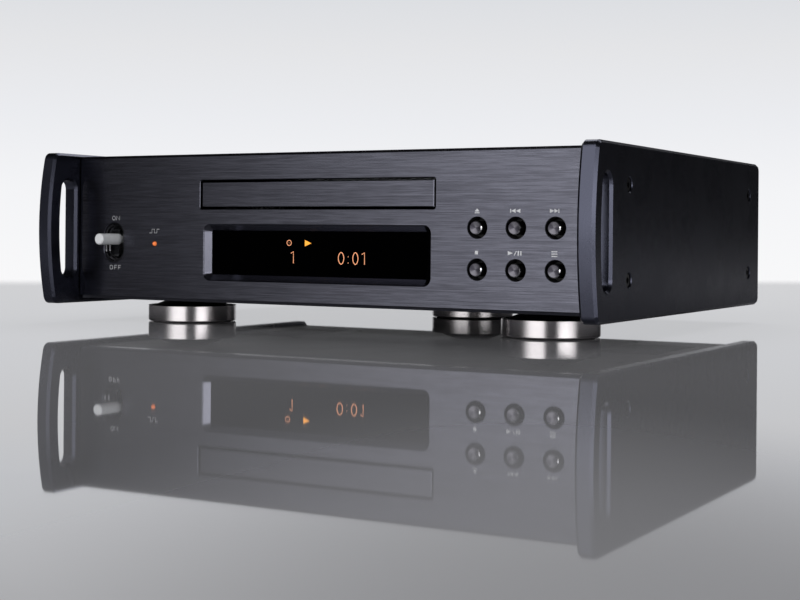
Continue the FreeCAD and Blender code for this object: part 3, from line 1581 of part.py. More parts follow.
# Drive frame, bridge and brackets
cam_back = face + s.cam_front + s.cam_sheet
lift_drop = (s.pivot_y - s.cam_front - s.cam_sheet / 2) * math.sin(math.radians(s.cam_angle.value))
hinge_y = face + s.pivot_y
bridge_screws = [(side * (frame_half + s.bridge_post / 2), spindle + dy)
                 for side in (-1, 1) for dy in (-8.0, 8.0)]


def drive_frame():
    """The moulded frame: plate with a well for the traverse, tray guides, posts and hinge sockets."""
    half_width = frame_half
    front, rear = face + s.frame_front, face + s.frame_rear
    open_half = s.traverse_width / 2 + 4
    plate = block((-half_width, half_width), (front, rear), (frame_low, frame_top))
    well = block((-open_half, open_half), (face + s.cam_front - 2.5, rear - 7),
                 (frame_low - 1, frame_top + 1))
    motor_hole = rod("Z", (motor_x, gear_y), (frame_low - 1, frame_top + 1), 3.2)
    slider_way = block((s.cam_pin_x - s.cam_travel - 10, s.cam_pin_x + s.cam_travel + 10),
                       (face + s.cam_front - 2.5, cam_back + 2.5), (frame_low - 1, frame_top + 1))
    sockets = [rod("X", (hinge_y, traverse_z), span, s.hinge_pin + s.running_gap)
               for span in ((open_half - 1, open_half + 7.5), (-open_half - 7.5, 1 - open_half))]
    solids = [carve(plate, well, slider_way, motor_hole, *sockets)]
    guide = tray_low - s.guide_gap
    lip_low = tray_high + s.guide_gap * 2
    for side in (-1, 1):
        def span(a, b):
            return (a, b) if side > 0 else (-b, -a)
        solids.append(block(span(half_width - s.cheek, half_width), (front, rear), (frame_top, lip_low)))
        ledge = span(half_width - s.cheek - 5, half_width)
        solids.append(block(ledge, (front, rear), (guide - s.sheet, guide)))
        solids.append(block(span(half_width - s.lip_reach, half_width), (front, rear),
                            (lip_low, lip_low + s.lip_height)))
        boss = block(span(half_width, half_width + s.bridge_post), (spindle - 13, spindle + 13),
                     (frame_low, bridge_low))
        bores = [rod("Z", (x, y), (bridge_low - 8, bridge_low + 1), s.screw_radius + s.screw_gap)
                 for x, y in bridge_screws if (x.value > 0) == (side > 0)]
        solids.append(carve(boss, *bores))
        ear = block(span(open_half, open_half + 8), (hinge_y - 6, hinge_y + 6),
                    (frame_top, traverse_z + 5))
        solids.append(carve(ear, *sockets))
    solids.append(rod("Z", (gear_x, gear_y), (frame_top, tray_deck - 0.3), s.post_radius))
    solids.append(rod("Z", (pulley_x, gear_y), (frame_top, wheel_high + 0.5), s.post_radius))
    floor = traverse_z - lift_drop - s.cam_pin_radius - 4.4
    left = s.cam_pin_x - s.cam_travel - 20
    right = s.cam_pin_x + s.cam_travel + 14
    channel = block((left, right), (face + s.cam_front - 2.3, cam_back + 2.3), (floor, floor + 3.6))
    groove = block((left + 4, right - 4), (face + s.cam_front - 0.3, cam_back + 0.3),
                   (floor + 1.8, floor + 5))
    solids.append(carve(channel, groove))
    for x in ((left, left + 3.7), (right - 3.7, right)):
        solids.append(block(x, (face + s.cam_front - 4, cam_back + 2.3), (floor, frame_top)))
    node(join(*solids), "drive_frame")
    return floor + 1.8


cam_floor = drive_frame()


def drive_brackets():
    """Four folded legs that carry the frame above the chassis floor."""
    legs = []
    t = 1.5
    for side in (-1, 1):
        x = (frame_half - 16, frame_half - 2) if side > 0 else (2 - frame_half, 16 - frame_half)
        for y in (face + s.frame_front + 2, face + s.frame_rear - 20):
            web = block(x, (y, y + t), (floor_top, frame_low))
            low = block(x, (y + t - 0.1, y + 12), (floor_top, floor_top + t))
            high = block(x, (y + t - 0.1, y + 12), (frame_low - t, frame_low))
            legs.append(join(web, low, high))
    group("drive_brackets", solids_of(*legs))


def clamp_bridge():
    """The pressed bridge over the tray, with upturned edges and the hole for the puck."""
    wide = frame_half + s.bridge_post
    front, rear = spindle - s.bridge_length / 2, spindle + s.bridge_length / 2
    low = bridge_low
    top = low + s.sheet
    plate = block((-wide, wide), (front, rear), (low, top))
    edges = [block((-wide + 10, wide - 10), y, (low, low + 4))
             for y in ((front, front + s.sheet), (rear - s.sheet, rear))]
    holes = [rod("Z", (0, spindle), (low - 1, top + 1), s.bridge_hole)]
    holes += [rod("Z", (x, y), (low - 1, top + 1), s.screw_radius + s.screw_gap) for x, y in bridge_screws]
    node(carve(join(plate, *edges), *holes), "clamp_bridge")
    return top


drive_brackets()
bridge_top = clamp_bridge()
board_screws += [pan_screw("Z", (x, y), bridge_top, -1) for x, y in bridge_screws]
group("board_screws", solids_of(*board_screws))


def clamp_puck():
    """The magnetic puck that hangs by its flange in the bridge and sits over the turntable's hub."""
    body = new_body("clamp_puck")
    low = turntable_high + s.puck_gap
    seat = bridge_top + s.puck_gap
    recess = s.hub_radius + 1.7
    turned(body, [
        (0, low + 3.8), (recess, low + 3.8), (recess, low), (s.puck_radius - 1, low),
        (s.puck_radius, low + 1),
        (s.puck_radius, seat), (s.puck_flange, seat), (s.puck_flange, seat + 1.5),
        (s.puck_radius - 2, seat + 2.5), (0, seat + 2.5)])
    place(body, 0, spindle, 0)


clamp_puck()


# Cam slider: a plate on edge whose slanted slot lifts the traverse by its pin
def cam_slider():
    """The slider with one slanted slot and a handle end."""
    body = new_body("cam_slider")
    drawing = front_sketch(body, s.cam_front + s.cam_sheet)
    right = s.cam_pin_x + 8
    left = s.cam_pin_x - s.cam_travel - 8
    low = cam_floor + 0.3
    high = traverse_z + 4
    polygon(drawing, [(left, low), (right, low), (right, high), (left + 14, high),
                      (left, high - lift_drop)])
    pad(body, drawing, s.cam_sheet)
    radius = s.cam_pin_radius.value + s.cam_slack.value
    start = FreeCAD.Vector(s.cam_pin_x.value, traverse_z.value, 0)
    end = FreeCAD.Vector(start.x - s.cam_travel.value, start.y - lift_drop.value, 0)
    slant = (start - end).normalize()
    across = FreeCAD.Vector(-slant.y, slant.x, 0) * radius
    slot = front_sketch(body, s.cam_front)
    corners = [start + across, end + across, end - across, start - across]
    slot.addGeometry(Part.LineSegment(corners[0], corners[1]), False)
    slot.addGeometry(Part.Arc(corners[1], end - slant * radius, corners[2]), False)
    slot.addGeometry(Part.LineSegment(corners[2], corners[3]), False)
    slot.addGeometry(Part.Arc(corners[3], start + slant * radius, corners[0]), False)
    pocket(body, slot)


cam_slider()


# Traverse: carries the spindle motor, the rails and the pickup
screw_shaft_x = s.traverse_width / 2 - s.shaft_inset
rail_right = screw_shaft_x - s.rail_pitch
rail_left = -(s.traverse_width / 2 - s.rail_inset)
traverse_low = traverse_z - s.traverse_height / 2
traverse_high = traverse_z + s.traverse_height / 2
well_front = face + s.well_front
well_rear = face + s.well_rear
rail_holes = 3.0


def traverse_frame():
    """The cast frame, hinged at the rear, with its lifting pin at the front."""
    half_width = s.traverse_width / 2
    x = (-half_width, half_width)
    body = block(x, (face + s.traverse_front, hinge_y + 4), (traverse_low, traverse_high))
    cuts = [block((rail_left - 6, half_width - 4), (well_front, well_rear),
                  (traverse_low - 1, traverse_high + 1))]
    shaft_x = screw_shaft_x
    cuts.append(block((shaft_x - 6.5, shaft_x + 6.5), (well_front - 22, well_front - 2),
                      (traverse_low - 1, traverse_high + 1)))
    cuts.append(rod("Z", (0, spindle), (traverse_low - 1, traverse_high - 2), s.spindle_motor_radius + 0.2))
    cuts.append(rod("Z", (0, spindle), (traverse_low, traverse_high + 1), 3.0))
    for rail in (rail_left, rail_right):
        cuts.append(rod("Y", (rail, traverse_z), (well_front - rail_holes, well_rear + rail_holes),
                        s.rail_radius + 0.04))
    cuts.append(rod("Y", (shaft_x, traverse_z), (well_front - 3, well_rear + 2.4),
                    s.rail_radius + s.running_gap))
    pins = [rod("X", (hinge_y, traverse_z), span, s.hinge_pin)
            for span in ((half_width - 0.5, half_width + 11), (-half_width - 11, -half_width + 0.5))]
    pins.append(rod("Y", (s.cam_pin_x, traverse_z), (face + s.cam_front - 0.4, face + s.traverse_front + 0.5),
                    s.cam_pin_radius))
    node(carve(join(body, *pins), *cuts), "traverse_frame")


def spindle_parts():
    """The spindle motor and the turntable on its shaft."""
    top = traverse_high - 2
    motor = rod("Z", (0, spindle), (traverse_z - s.spindle_motor_drop, top), s.spindle_motor_radius)
    boss = rod("Z", (0, spindle), (top, traverse_high), 2.6)
    shaft = rod("Z", (0, spindle), (top, turntable_high - 3.9), 1.0)
    node(join(motor, boss, shaft), "spindle_motor")
    body = new_body("turntable")
    high = turntable_high
    bore = 1.0 + s.running_gap
    turned(body, [
        (bore, traverse_high + 0.5), (5.0, traverse_high + 0.5), (5.0, high - 3.2),
        (s.turntable_radius, high - 2.6), (s.turntable_radius, high), (s.hub_radius, high),
        (s.hub_radius, high + 1.3), (s.hub_radius - 1.8, high + 2.9), (0, high + 2.9),
        (0, high - 3.6), (bore, high - 3.6)])
    place(body, 0, spindle, 0)


def sled():
    """The rails, the pickup on them and the screw that moves it."""
    span = (well_front - rail_holes, well_rear + rail_holes)
    rails = [rod("Y", (x, traverse_z), span, s.rail_radius) for x in (rail_left, rail_right)]
    group("guide_rails", solids_of(*rails))
    lens = spindle + s.laser_inner
    low, high = lens - 9, lens + 15
    z = traverse_z
    body = block((rail_left + 7, rail_right - 5), (low, high), (z - 3.5, z + 5))
    turret = rod("Z", (0, lens), (z + 4.5, z + 10.5), 5.5)
    glass = rod("Z", (0, lens), (z + 10, z + 11.3), 2.2)
    left = rod("Y", (rail_left, z), (low, high), 3.2)
    web = block((rail_left, rail_left + 8), (low, high), (z - 1.2, z + 1.2))
    right = rod("Y", (rail_right, z), (low + 6, high - 6), 2.8)
    fork = block((rail_right - 6, rail_right), (low + 6, high - 6), (z - 1.2, z + 1.2))
    tip = screw_shaft_x - s.rail_radius - 0.3
    arm = block((rail_right, tip), (lens + 1, lens + 5), (z - 1, z + 1))
    fit = s.rail_radius + s.running_gap
    bores = [rod("Y", (rail_left, z), (low - 1, high + 1), fit),
             rod("Y", (rail_right, z), (low - 1, high + 1), fit)]
    node(carve(join(body, turret, glass, left, web, right, fork, arm), *bores), "pickup")
    shaft_x = screw_shaft_x
    node(rod("Y", (shaft_x, z), (well_front - 1.8, well_rear + 2.2), s.rail_radius), "sled_screw")
    motor = rod("Y", (shaft_x, z), (well_front - 18, well_front - 2), 6.0)
    node(motor, "sled_motor")


traverse_frame()
spindle_parts()
sled()

# Check every object, then write one file for each sub-part
doc.recompute()
for item in doc.Objects:
    if "Invalid" in item.State or "Error" in item.State:
        raise ValueError("%s failed: %s" % (item.Name, item.State))
os.makedirs("parts", exist_ok=True)
for item in nodes:
    shape = item.Shape
    if shape.isNull() or not shape.isValid():
        raise ValueError("%s has no valid shape" % item.Label)
    shape.exportStep("parts/%s.step" % item.Label)
print(len(nodes), "sub-parts written")
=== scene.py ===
# %% [markdown]
# # Dressing a slim disc transport
# The frame holds every solid of the player at its true place and size. This lesson gives each of them its
# finish, models the pieces whose looks need more than the solids have, and sets the object on a pale floor.
# Everything is in metres: X to the right, Y to the rear, Z up, and the front looks along -Y.

# %% The frame
import math

import bmesh
import bpy
from mathutils import Matrix, Vector


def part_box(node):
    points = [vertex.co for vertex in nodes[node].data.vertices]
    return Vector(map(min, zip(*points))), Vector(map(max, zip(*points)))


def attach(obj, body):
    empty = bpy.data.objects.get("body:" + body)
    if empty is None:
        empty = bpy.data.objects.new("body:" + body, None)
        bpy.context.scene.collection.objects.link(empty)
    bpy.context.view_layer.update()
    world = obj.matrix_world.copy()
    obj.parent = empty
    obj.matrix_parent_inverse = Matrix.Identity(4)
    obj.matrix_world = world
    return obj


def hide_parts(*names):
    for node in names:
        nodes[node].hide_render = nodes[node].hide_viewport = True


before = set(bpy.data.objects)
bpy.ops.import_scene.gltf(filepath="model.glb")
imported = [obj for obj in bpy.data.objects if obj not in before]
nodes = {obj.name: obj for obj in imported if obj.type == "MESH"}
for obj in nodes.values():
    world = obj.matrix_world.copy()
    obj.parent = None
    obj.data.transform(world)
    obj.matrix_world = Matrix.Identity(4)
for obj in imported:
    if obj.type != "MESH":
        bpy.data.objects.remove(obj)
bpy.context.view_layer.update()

# The depth of the front panel's face
FACE = -0.0992

# %% [markdown]
# ## Writing shaders as sums
# A material is a small network. Wrapping a socket in a class whose +, -, * and / add Math nodes lets the
# network read like the formula it stands for. Any other node comes from one method, `Nodes.add`.


# %% Sockets with arithmetic
class Value:
    """An output socket, or a number, that can be added, multiplied and compared."""

    def __init__(self, finish, socket):
        self.finish = finish
        self.socket = socket

    def math(self, operation, *others):
        values = dict(enumerate((self,) + others))
        return self.finish.add("ShaderNodeMath", dict(operation=operation), values)

    def __add__(self, other):
        return self.math("ADD", other)

    def __sub__(self, other):
        return self.math("SUBTRACT", other)

    def __mul__(self, other):
        return self.math("MULTIPLY", other)

    def __truediv__(self, other):
        return self.math("DIVIDE", other)

    def __rsub__(self, other):
        return self.finish.add("ShaderNodeMath", dict(operation="SUBTRACT"), {0: other, 1: self})

    __radd__ = __add__
    __rmul__ = __mul__

    def over(self, edge):
        """1 where the value is over an edge, else 0."""
        return self.math("GREATER_THAN", edge)

    def ramp(self, low, high):
        """0 below low, 1 above high, smooth between them."""
        return self.finish.add("ShaderNodeMapRange", dict(interpolation_type="SMOOTHSTEP"),
                               {"Value": self, "From Min": low, "From Max": high}, "Result")


# %% A tree of nodes, and a material made of one
class Nodes:
    """The nodes of a material or of the world."""

    def __init__(self, tree):
        self.tree = tree

    def add(self, kind, settings, values, output=0):
        """A node of a type, with its settings, then the values or links of its sockets."""
        node = self.tree.nodes.new(kind)
        for word, value in settings.items():
            if word == "stops":
                self.stops(node.color_ramp.elements, value)
            else:
                setattr(node, word, value)
        for word, value in values.items():
            self.feed(node.inputs[word], value)
        return Value(self, node.outputs[output]) if node.outputs else None

    def stops(self, elements, stops):
        """Give a colour ramp its stops."""
        while len(elements) < len(stops):
            elements.new(0.5)
        for element, (where, colour) in zip(elements, stops):
            element.position, element.color = where, (*colour, 1.0)

    def feed(self, socket, value):
        """Link a value to a socket, or set the socket to a number or a colour."""
        if isinstance(value, Value):
            self.tree.links.new(value.socket, socket)
        elif isinstance(value, tuple) and len(value) == 3 and socket.type == "RGBA":
            socket.default_value = (*value, 1.0)
        else:
            socket.default_value = value

    def place(self):
        """Object coordinates, in metres."""
        return self.add("ShaderNodeTexCoord", {}, {}, "Object")

    def vector(self, operation, first, second, output=0):
        return self.add("ShaderNodeVectorMath", dict(operation=operation), {0: first, 1: second}, output)

    def scaled(self, x, y, z, centre=(0.0, 0.0, 0.0)):
        """Object coordinates from a centre, stretched along each axis."""
        return self.vector("MULTIPLY", self.vector("SUBTRACT", self.place(), centre), (x, y, z))

    def noise(self, vector, scale=1.0, detail=2.0):
        return self.add("ShaderNodeTexNoise", {}, {"Vector": vector, "Scale": scale, "Detail": detail})

    def axis(self, vector, name):
        return self.add("ShaderNodeSeparateXYZ", {}, {0: vector}, name)

    def blend(self, share, first, second):
        """A mix of two colours."""
        return self.add("ShaderNodeMix", dict(data_type="RGBA"), {0: share, 6: first, 7: second}, 2)


class Finish(Nodes):
    """A material with one Principled shader, built from sums of sockets."""

    def __init__(self, name, colour, roughness, metallic=0.0, **constants):
        self.material = bpy.data.materials.new(name)
        self.material.use_nodes = True
        super().__init__(self.material.node_tree)
        self.shader = self.tree.nodes["Principled BSDF"]
        self.drive("Base Color", colour)
        self.drive("Roughness", roughness)
        self.drive("Metallic", metallic)
        for word, value in constants.items():
            self.drive(word.replace("_", " "), value)

    def drive(self, word, value):
        self.feed(self.shader.inputs[word], value)

    def bump(self, height, distance):
        self.drive("Normal", self.add("ShaderNodeBump", {}, {"Height": height, "Distance": distance}))

    def tilt(self, lean):
        """Lean the normal by a vector, as grooves finer than a pixel do."""
        normal = self.add("ShaderNodeNewGeometry", {}, {}, "Normal")
        self.drive("Normal", self.vector("NORMALIZE", self.vector("ADD", normal, lean), (0.0, 0.0, 0.0)))


print("arithmetic ready")

# %% [markdown]
# ## A grain that every finish shares
# No real surface is one flat colour. Each finish starts from a fine noise that shifts its colour and its
# roughness a little, and a bump that breaks up the highlight. `grained` is that start; the special finishes
# below add to it.


# %% Grained finishes
def shade(colour, factor):
    """A colour made lighter or darker."""
    return tuple(c * factor for c in colour)


def grained(name, colour, roughness, metallic=0.0, grain=900.0, depth=0.00002, spread=0.12, **constants):
    """A finish whose colour, roughness and height vary with a fine noise."""
    finish = Finish(name, colour, roughness, metallic, **constants)
    place = finish.place()
    fine = finish.noise(place, grain, 3.0)
    broad = finish.noise(place, 35.0, 2.0)
    light = tuple(min(1.0, c) for c in shade(colour, 1 + spread))
    finish.drive("Base Color", finish.blend(fine * 0.6 + broad * 0.4, shade(colour, 1 - spread), light))
    finish.drive("Roughness", (broad - 0.5) * 0.12 + (fine - 0.5) * 0.08 + roughness)
    if depth:
        finish.bump(fine, depth)
    return finish


def paint(finish, *names):
    """Give a finish to every part of the named nodes."""
    for name in names:
        mesh = nodes[name].data
        mesh.materials.clear()
        mesh.materials.append(finish.material)


plate_black = grained("plate_anodised", (0.066, 0.069, 0.094), 0.28, 1.0, grain=2600.0, depth=0.000003,
                      spread=0.06)
case_black = grained("case_powder_coat", (0.012, 0.012, 0.013), 0.5, grain=1500.0, depth=0.00006)
zinc = grained("zinc_plate", (0.50, 0.51, 0.53), 0.34, 0.9, grain=260.0, depth=0.000004, spread=0.18)
bolt_black = grained("black_oxide", (0.020, 0.019, 0.021), 0.27, 0.6, grain=1800.0, depth=0.000004)
steel = grained("plated_steel", (0.58, 0.58, 0.57), 0.27, 1.0, grain=700.0, depth=0.000003)
paint(plate_black, "left_side_plate", "right_side_plate")
paint(case_black, "base_chassis", "top_cover", "rear_panel", "front_frame")
paint(zinc, "drive_brackets", "clamp_bridge", "toggle_switch")
paint(bolt_black, "side_plate_bolts", "case_screws")
paint(steel, "foot_screws", "board_screws", "board_pillars", "transformer_clamp", "inlet_blades",
      "clock_jack")
print("case painted")

# %% [markdown]
# ## Brushed and turned metal
# Brushing leaves grooves far finer than a pixel. They tilt the surface across the grooves and never along
# them, so a highlight is drawn out at a right angle to the lines. That is built here by adding a random tilt
# along one direction to the normal: straight up for a brushed panel, and towards the middle for a turned key.
# A turned key also has a painted highlight: its colour is lighter in two opposite sectors.


# %% Brushed panels
# What lies behind the face by more than CUT is a bevel, or a well if it is further out than WELLS_OUT; a well's
# walls are painted near black as painted shade.
CUT = 0.00055
WELLS_OUT, WELLS_LOW, WELLS_HIGH = 0.075, 0.02, 0.06
WELL_PAINTED_SHADE = (0.004, 0.004, 0.005)


def brushed(name, colour, roughness, lean):
    """Metal brushed along X: lines across it tilt its normal up and down. Its bevels are cut afterwards."""
    finish = Finish(name, colour, roughness, 1.0)
    lines = finish.noise(finish.scaled(8.0, 8.0, 30000.0))
    streaks = finish.noise(finish.scaled(85.0, 85.0, 2300.0))
    plain = finish.blend(streaks.ramp(0.3, 0.7), shade(colour, 0.80), shade(colour, 1.20))
    x, y, z = (finish.axis(finish.place(), word) for word in "XYZ")
    cut = y.over(FACE + CUT)
    # Painted shade: the walls of the holes out to either side are near black, dull and not metal.
    painted_shade_wells = cut * x.math("ABSOLUTE").over(WELLS_OUT) * z.over(WELLS_LOW) * (1 - z.over(WELLS_HIGH))
    bare = finish.blend(cut, plain, shade(colour, 1.4))
    finish.drive("Base Color", finish.blend(painted_shade_wells, bare, WELL_PAINTED_SHADE))
    finish.drive("Roughness", (streaks - 0.5) * 0.05 + painted_shade_wells * 0.6 + roughness)
    finish.drive("Metallic", 1 - painted_shade_wells)
    finish.tilt(finish.add("ShaderNodeCombineXYZ", {}, {"Z": (lines - 0.5) * (1 - cut) * lean}))
    return finish


panel_black = brushed("panel_brushed", (0.090, 0.091, 0.112), 0.2, 1.1)
paint(panel_black, "front_panel", "tray_door")


# %% Turned metal
# The skirt colour is painted shade: the part of a key inside its well is near black.
RIM_LIGHT, SKIRT_PAINTED_SHADE = (0.60, 0.60, 0.62), (0.004, 0.004, 0.004)


def turned(name, dark, light, centre, rim, skirt):
    """Metal turned on a lathe whose axis is Y: a painted highlight in two sectors, a smooth rim, a skirt
    painted as shade.
    """
    finish = Finish(name, light, 0.2, 1.0)
    from_axis = finish.scaled(1.0, 0.0, 1.0, centre)
    radius = finish.vector("LENGTH", from_axis, (0.0, 0.0, 0.0), "Value")
    outward = finish.vector("NORMALIZE", from_axis, (0.0, 0.0, 0.0))
    rings = finish.add("ShaderNodeTexNoise", dict(noise_dimensions="1D"),
                       {"W": radius * 9000.0, "Scale": 1.0})
    # Painted highlight: the colour is lighter in two sectors along a fixed slant, where a turned face would
    # catch the light.
    upright = finish.vector("DOT_PRODUCT", outward, (0.32, 0.0, 0.95), "Value")
    painted_highlight_sectors = (upright * upright).ramp(0.05, 0.85)
    edge = radius.over(rim)
    # Painted shade: deeper than the skirt depth, inside the well, a key is near black and dull.
    behind = finish.axis(finish.place(), "Y").over(skirt)
    face = finish.blend(painted_highlight_sectors * 0.85 + (rings - 0.5) * 0.5, dark, light)
    finish.drive("Base Color", finish.blend(behind, finish.blend(edge, face, RIM_LIGHT), SKIRT_PAINTED_SHADE))
    finish.drive("Roughness", 0.22 - edge * 0.08 + behind * 0.5)
    finish.tilt(finish.add("ShaderNodeVectorMath", dict(operation="SCALE"),
                           {0: outward, "Scale": (rings - 0.5) * (1 - edge) * 0.5}))
    return finish


def lathed(name, colour, roughness, metallic):
    """Metal turned smooth: faint lines run round it, one above the other."""
    finish = Finish(name, colour, roughness, metallic)
    lines = finish.noise(finish.scaled(0.0, 0.0, 4200.0))
    finish.drive("Base Color", finish.blend(lines, shade(colour, 0.9), colour))
    finish.drive("Roughness", (lines - 0.5) * 0.08 + roughness)
    return finish


lever_metal = lathed("lever_metal", (0.96, 0.98, 1.0), 0.30, 0.12)
foot_metal = lathed("foot_metal", (0.62, 0.59, 0.60), 0.215, 1.0)
foot_black = grained("foot_cone_satin", (0.010, 0.010, 0.011), 0.3, grain=900.0, depth=0.000004)
bezel_black = grained("bezel_chrome", (0.085, 0.085, 0.092), 0.12, 1.0, grain=900.0, depth=0.0)
paint(bezel_black, "toggle_bezel")
paint(lever_metal, "toggle_lever")
paint(foot_metal, "foot_rings")
paint(foot_black, "foot_cones")
print("metals turned and brushed")

# %% [markdown]
# ## Plastics, boards and the works
# The mechanism is seen only when the tray is out, but it is finished as the real one would be: glass filled
# frame, fine grained tray, black drive gear, white acetal pulley gear and cam slider, steel motor cans and
# green boards.

# %% Plastics and small metals
grey_plastic = grained("glass_filled", (0.042, 0.043, 0.047), 0.48, grain=600.0, depth=0.00003)
tray_plastic = grained("tray_grain", (0.018, 0.018, 0.020), 0.42, grain=1700.0, depth=0.00003)
part_plastic = grained("moulded_black", (0.017, 0.017, 0.018), 0.36, grain=800.0, depth=0.00001)
acetal = grained("acetal", (0.71, 0.70, 0.66), 0.38, grain=500.0, depth=0.00001, spread=0.05)
rubber = grained("rubber", (0.020, 0.020, 0.020), 0.72, grain=1500.0, depth=0.00004)
motor_can = grained("motor_can", (0.46, 0.46, 0.47), 0.3, 1.0, grain=500.0, depth=0.000004)
ground_steel = grained("ground_steel", (0.66, 0.66, 0.67), 0.12, 1.0, grain=900.0, depth=0.000002)
brass = grained("gold_plate", (0.80, 0.58, 0.24), 0.22, 1.0, grain=700.0, depth=0.000003)
paint(grey_plastic, "drive_frame", "traverse_frame")
paint(tray_plastic, "tray")
paint(part_plastic, "drive_gear", "display_module", "ac_inlet", "optical_jack", "clamp_puck",
      "turntable", "pickup", "board_parts", "key_switches")
paint(acetal, "pulley_gear", "cam_slider")
paint(rubber, "drive_belt", "foot_pads", "transformer_rubber")
paint(motor_can, "loading_motor", "spindle_motor", "sled_motor")
paint(ground_steel, "guide_rails", "sled_screw")
paint(brass, "coax_jack", "motor_pulley")


# %% Boards and the wound coil
def board_green():
    """Solder mask over copper tracks: narrow lines of a brick pattern show through a little lighter."""
    finish = Finish("solder_mask", (0.012, 0.075, 0.030), 0.32)
    flat = finish.scaled(180.0, 180.0, 180.0)
    tracks = finish.add("ShaderNodeTexBrick", {}, {"Vector": flat, "Scale": 1.0, "Mortar Size": 0.05}, "Fac")
    fine = finish.noise(finish.place(), 1400.0)
    finish.drive("Base Color", finish.blend(tracks, (0.010, 0.066, 0.027), (0.030, 0.125, 0.045)))
    finish.drive("Roughness", fine * 0.1 + 0.28)
    finish.bump(tracks, 0.00003)
    return finish


LAPS = 44.0


def coil_tape():
    """Tape wound through a ring: the laps fan out round the coil's middle."""
    finish = Finish("coil_tape", (0.52, 0.30, 0.05), 0.34)
    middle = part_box("transformer_coil")
    centre = tuple((middle[0] + middle[1]) / 2)
    offset = finish.scaled(1.0, 1.0, 0.0, centre)
    angle = finish.axis(offset, "Y").math("ARCTAN2", finish.axis(offset, "X"))
    laps = (angle * (LAPS / (2.0 * math.pi))).math("FRACT")
    finish.drive("Base Color", finish.blend(laps, (0.34, 0.18, 0.03), (0.60, 0.37, 0.08)))
    finish.drive("Roughness", finish.noise(finish.place(), 700.0) * 0.15 + 0.28)
    finish.bump(laps, 0.0003)
    return finish


paint(board_green(), "display_board", "key_board", "main_board", "power_board")
paint(coil_tape(), "transformer_coil")
print("works finished")

# %% [markdown]
# ## The window and what glows behind it
# The window is smoked so deep that only lit segments show, and it throws back no highlight. What glows in it
# gets its colours here: the signs and figures of the display, and the small lamp beside the lever.

# %% Window, lamp and glow
window_gloss = grained("smoked_window", (0.0005, 0.0005, 0.0006), 0.07, grain=200.0, depth=0.0,
                       Specular_IOR_Level=0.0)
paint(window_gloss, "display_window")


def glowing(name, colour, strength):
    """A lit surface with a slight unevenness, as fluorescent segments have."""
    finish = Finish(name, colour, 0.4)
    fine = finish.noise(finish.place(), 900.0, 1.0)
    for word in ("Base Color", "Emission Color"):
        finish.drive(word, finish.blend(fine, shade(colour, 0.82), colour))
    finish.drive("Emission Strength", strength)
    return finish


lamp_glow = glowing("lamp_orange", (1.0, 0.25, 0.07), 0.42)
amber = glowing("display_amber", (1.0, 0.39, 0.035), 0.8)
peach = glowing("display_peach", (1.0, 0.41, 0.20), 0.64)
paint(lamp_glow, "status_lamp")
print("window and lamp finished")

# %% [markdown]
# ## Keys from a lathe profile
# A key is a turned cap. A profile of a few points is spun round the key's axis: a shallow dish, a straight
# chamfer at the rim that catches the light from the side, a skirt and a flange. It takes the solid's place.

# %% Helpers for new pieces
def finished(name, mesh, finish, body, smooth=True):
    """Turn a bmesh into an object at the origin that rides on a body."""
    data = bpy.data.meshes.new(name)
    mesh.to_mesh(data)
    mesh.free()
    data.materials.append(finish.material)
    for face in data.polygons:
        face.use_smooth = smooth
    piece = bpy.data.objects.new(name, data)
    bpy.context.scene.collection.objects.link(piece)
    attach(piece, body)
    return piece


def spun(profile, x, z, steps=64):
    """Spin (radius, depth) points round an axis along Y that passes through x and z."""
    mesh = bmesh.new()
    chain = [mesh.verts.new((x + r, FACE + y, z)) for r, y in profile]
    edges = [mesh.edges.new(pair) for pair in zip(chain, chain[1:])]
    bmesh.ops.spin(mesh, geom=chain + edges, cent=(x, 0, z), axis=(0, 1, 0), angle=2 * math.pi,
                   steps=steps, use_merge=True)
    bmesh.ops.remove_doubles(mesh, verts=mesh.verts, dist=1e-7)
    bmesh.ops.recalc_face_normals(mesh, faces=mesh.faces)
    return mesh


# %% Six keys
KEYS = {"eject": (0.0832, 0.0480), "previous": (0.1012, 0.0480), "next": (0.1192, 0.0480),
        "stop": (0.0832, 0.0302), "play": (0.1012, 0.0302), "menu": (0.1192, 0.0302)}
CHAMFER, DISH, LIP = 0.00038, 0.00022, 0.0008
FRONT, BACK, RADIUS, FLANGE = -0.0018, 0.0085, 0.0029, 0.0039
SKIRT = FACE + 0.0016
# The lighter key colour is a painted highlight, laid in two opposite sectors of each key face.
KEY_DARK, KEY_PAINTED_HIGHLIGHT = (0.042, 0.040, 0.050), (0.135, 0.130, 0.148)
profile = [(0.0, FRONT + DISH), (0.0012, FRONT + DISH * 0.85), (0.0020, FRONT + DISH * 0.3),
           (RADIUS - CHAMFER, FRONT), (RADIUS, FRONT + CHAMFER), (RADIUS, BACK), (FLANGE, BACK),
           (FLANGE, BACK + LIP), (0.0, BACK + LIP)]


def sharpen(mesh, *places):
    """Mark the rings of edges at these depths as sharp."""
    for edge in mesh.edges:
        first, second = (mesh.vertices[i].co.y - FACE for i in edge.vertices)
        nearest = min(abs(first - place) for place in places)
        edge.use_edge_sharp = abs(first - second) < 1e-6 and nearest < 1e-5


for word, (x, z) in KEYS.items():
    cap = turned("key_" + word, KEY_DARK, KEY_PAINTED_HIGHLIGHT, (x, 0.0, z), RADIUS - CHAMFER, SKIRT)
    name = word + "_button"
    piece = finished(word + "_cap", spun(profile, x, z), cap, name)
    mesh = piece.data
    sharpen(mesh, FRONT, FRONT + CHAMFER, BACK)
    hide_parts(name)
print("6 keys turned,", len(mesh.polygons), "faces each")

# %% [markdown]
# ## Marks
# Small printed marks stand over the keys: the usual signs for eject, skip, stop, play and pause, and three bars
# for the menu. Each is a flat outline, a few hundredths of a millimetre thick, made of plain polygons.


# %% Flat signs
THIN = 0.00004


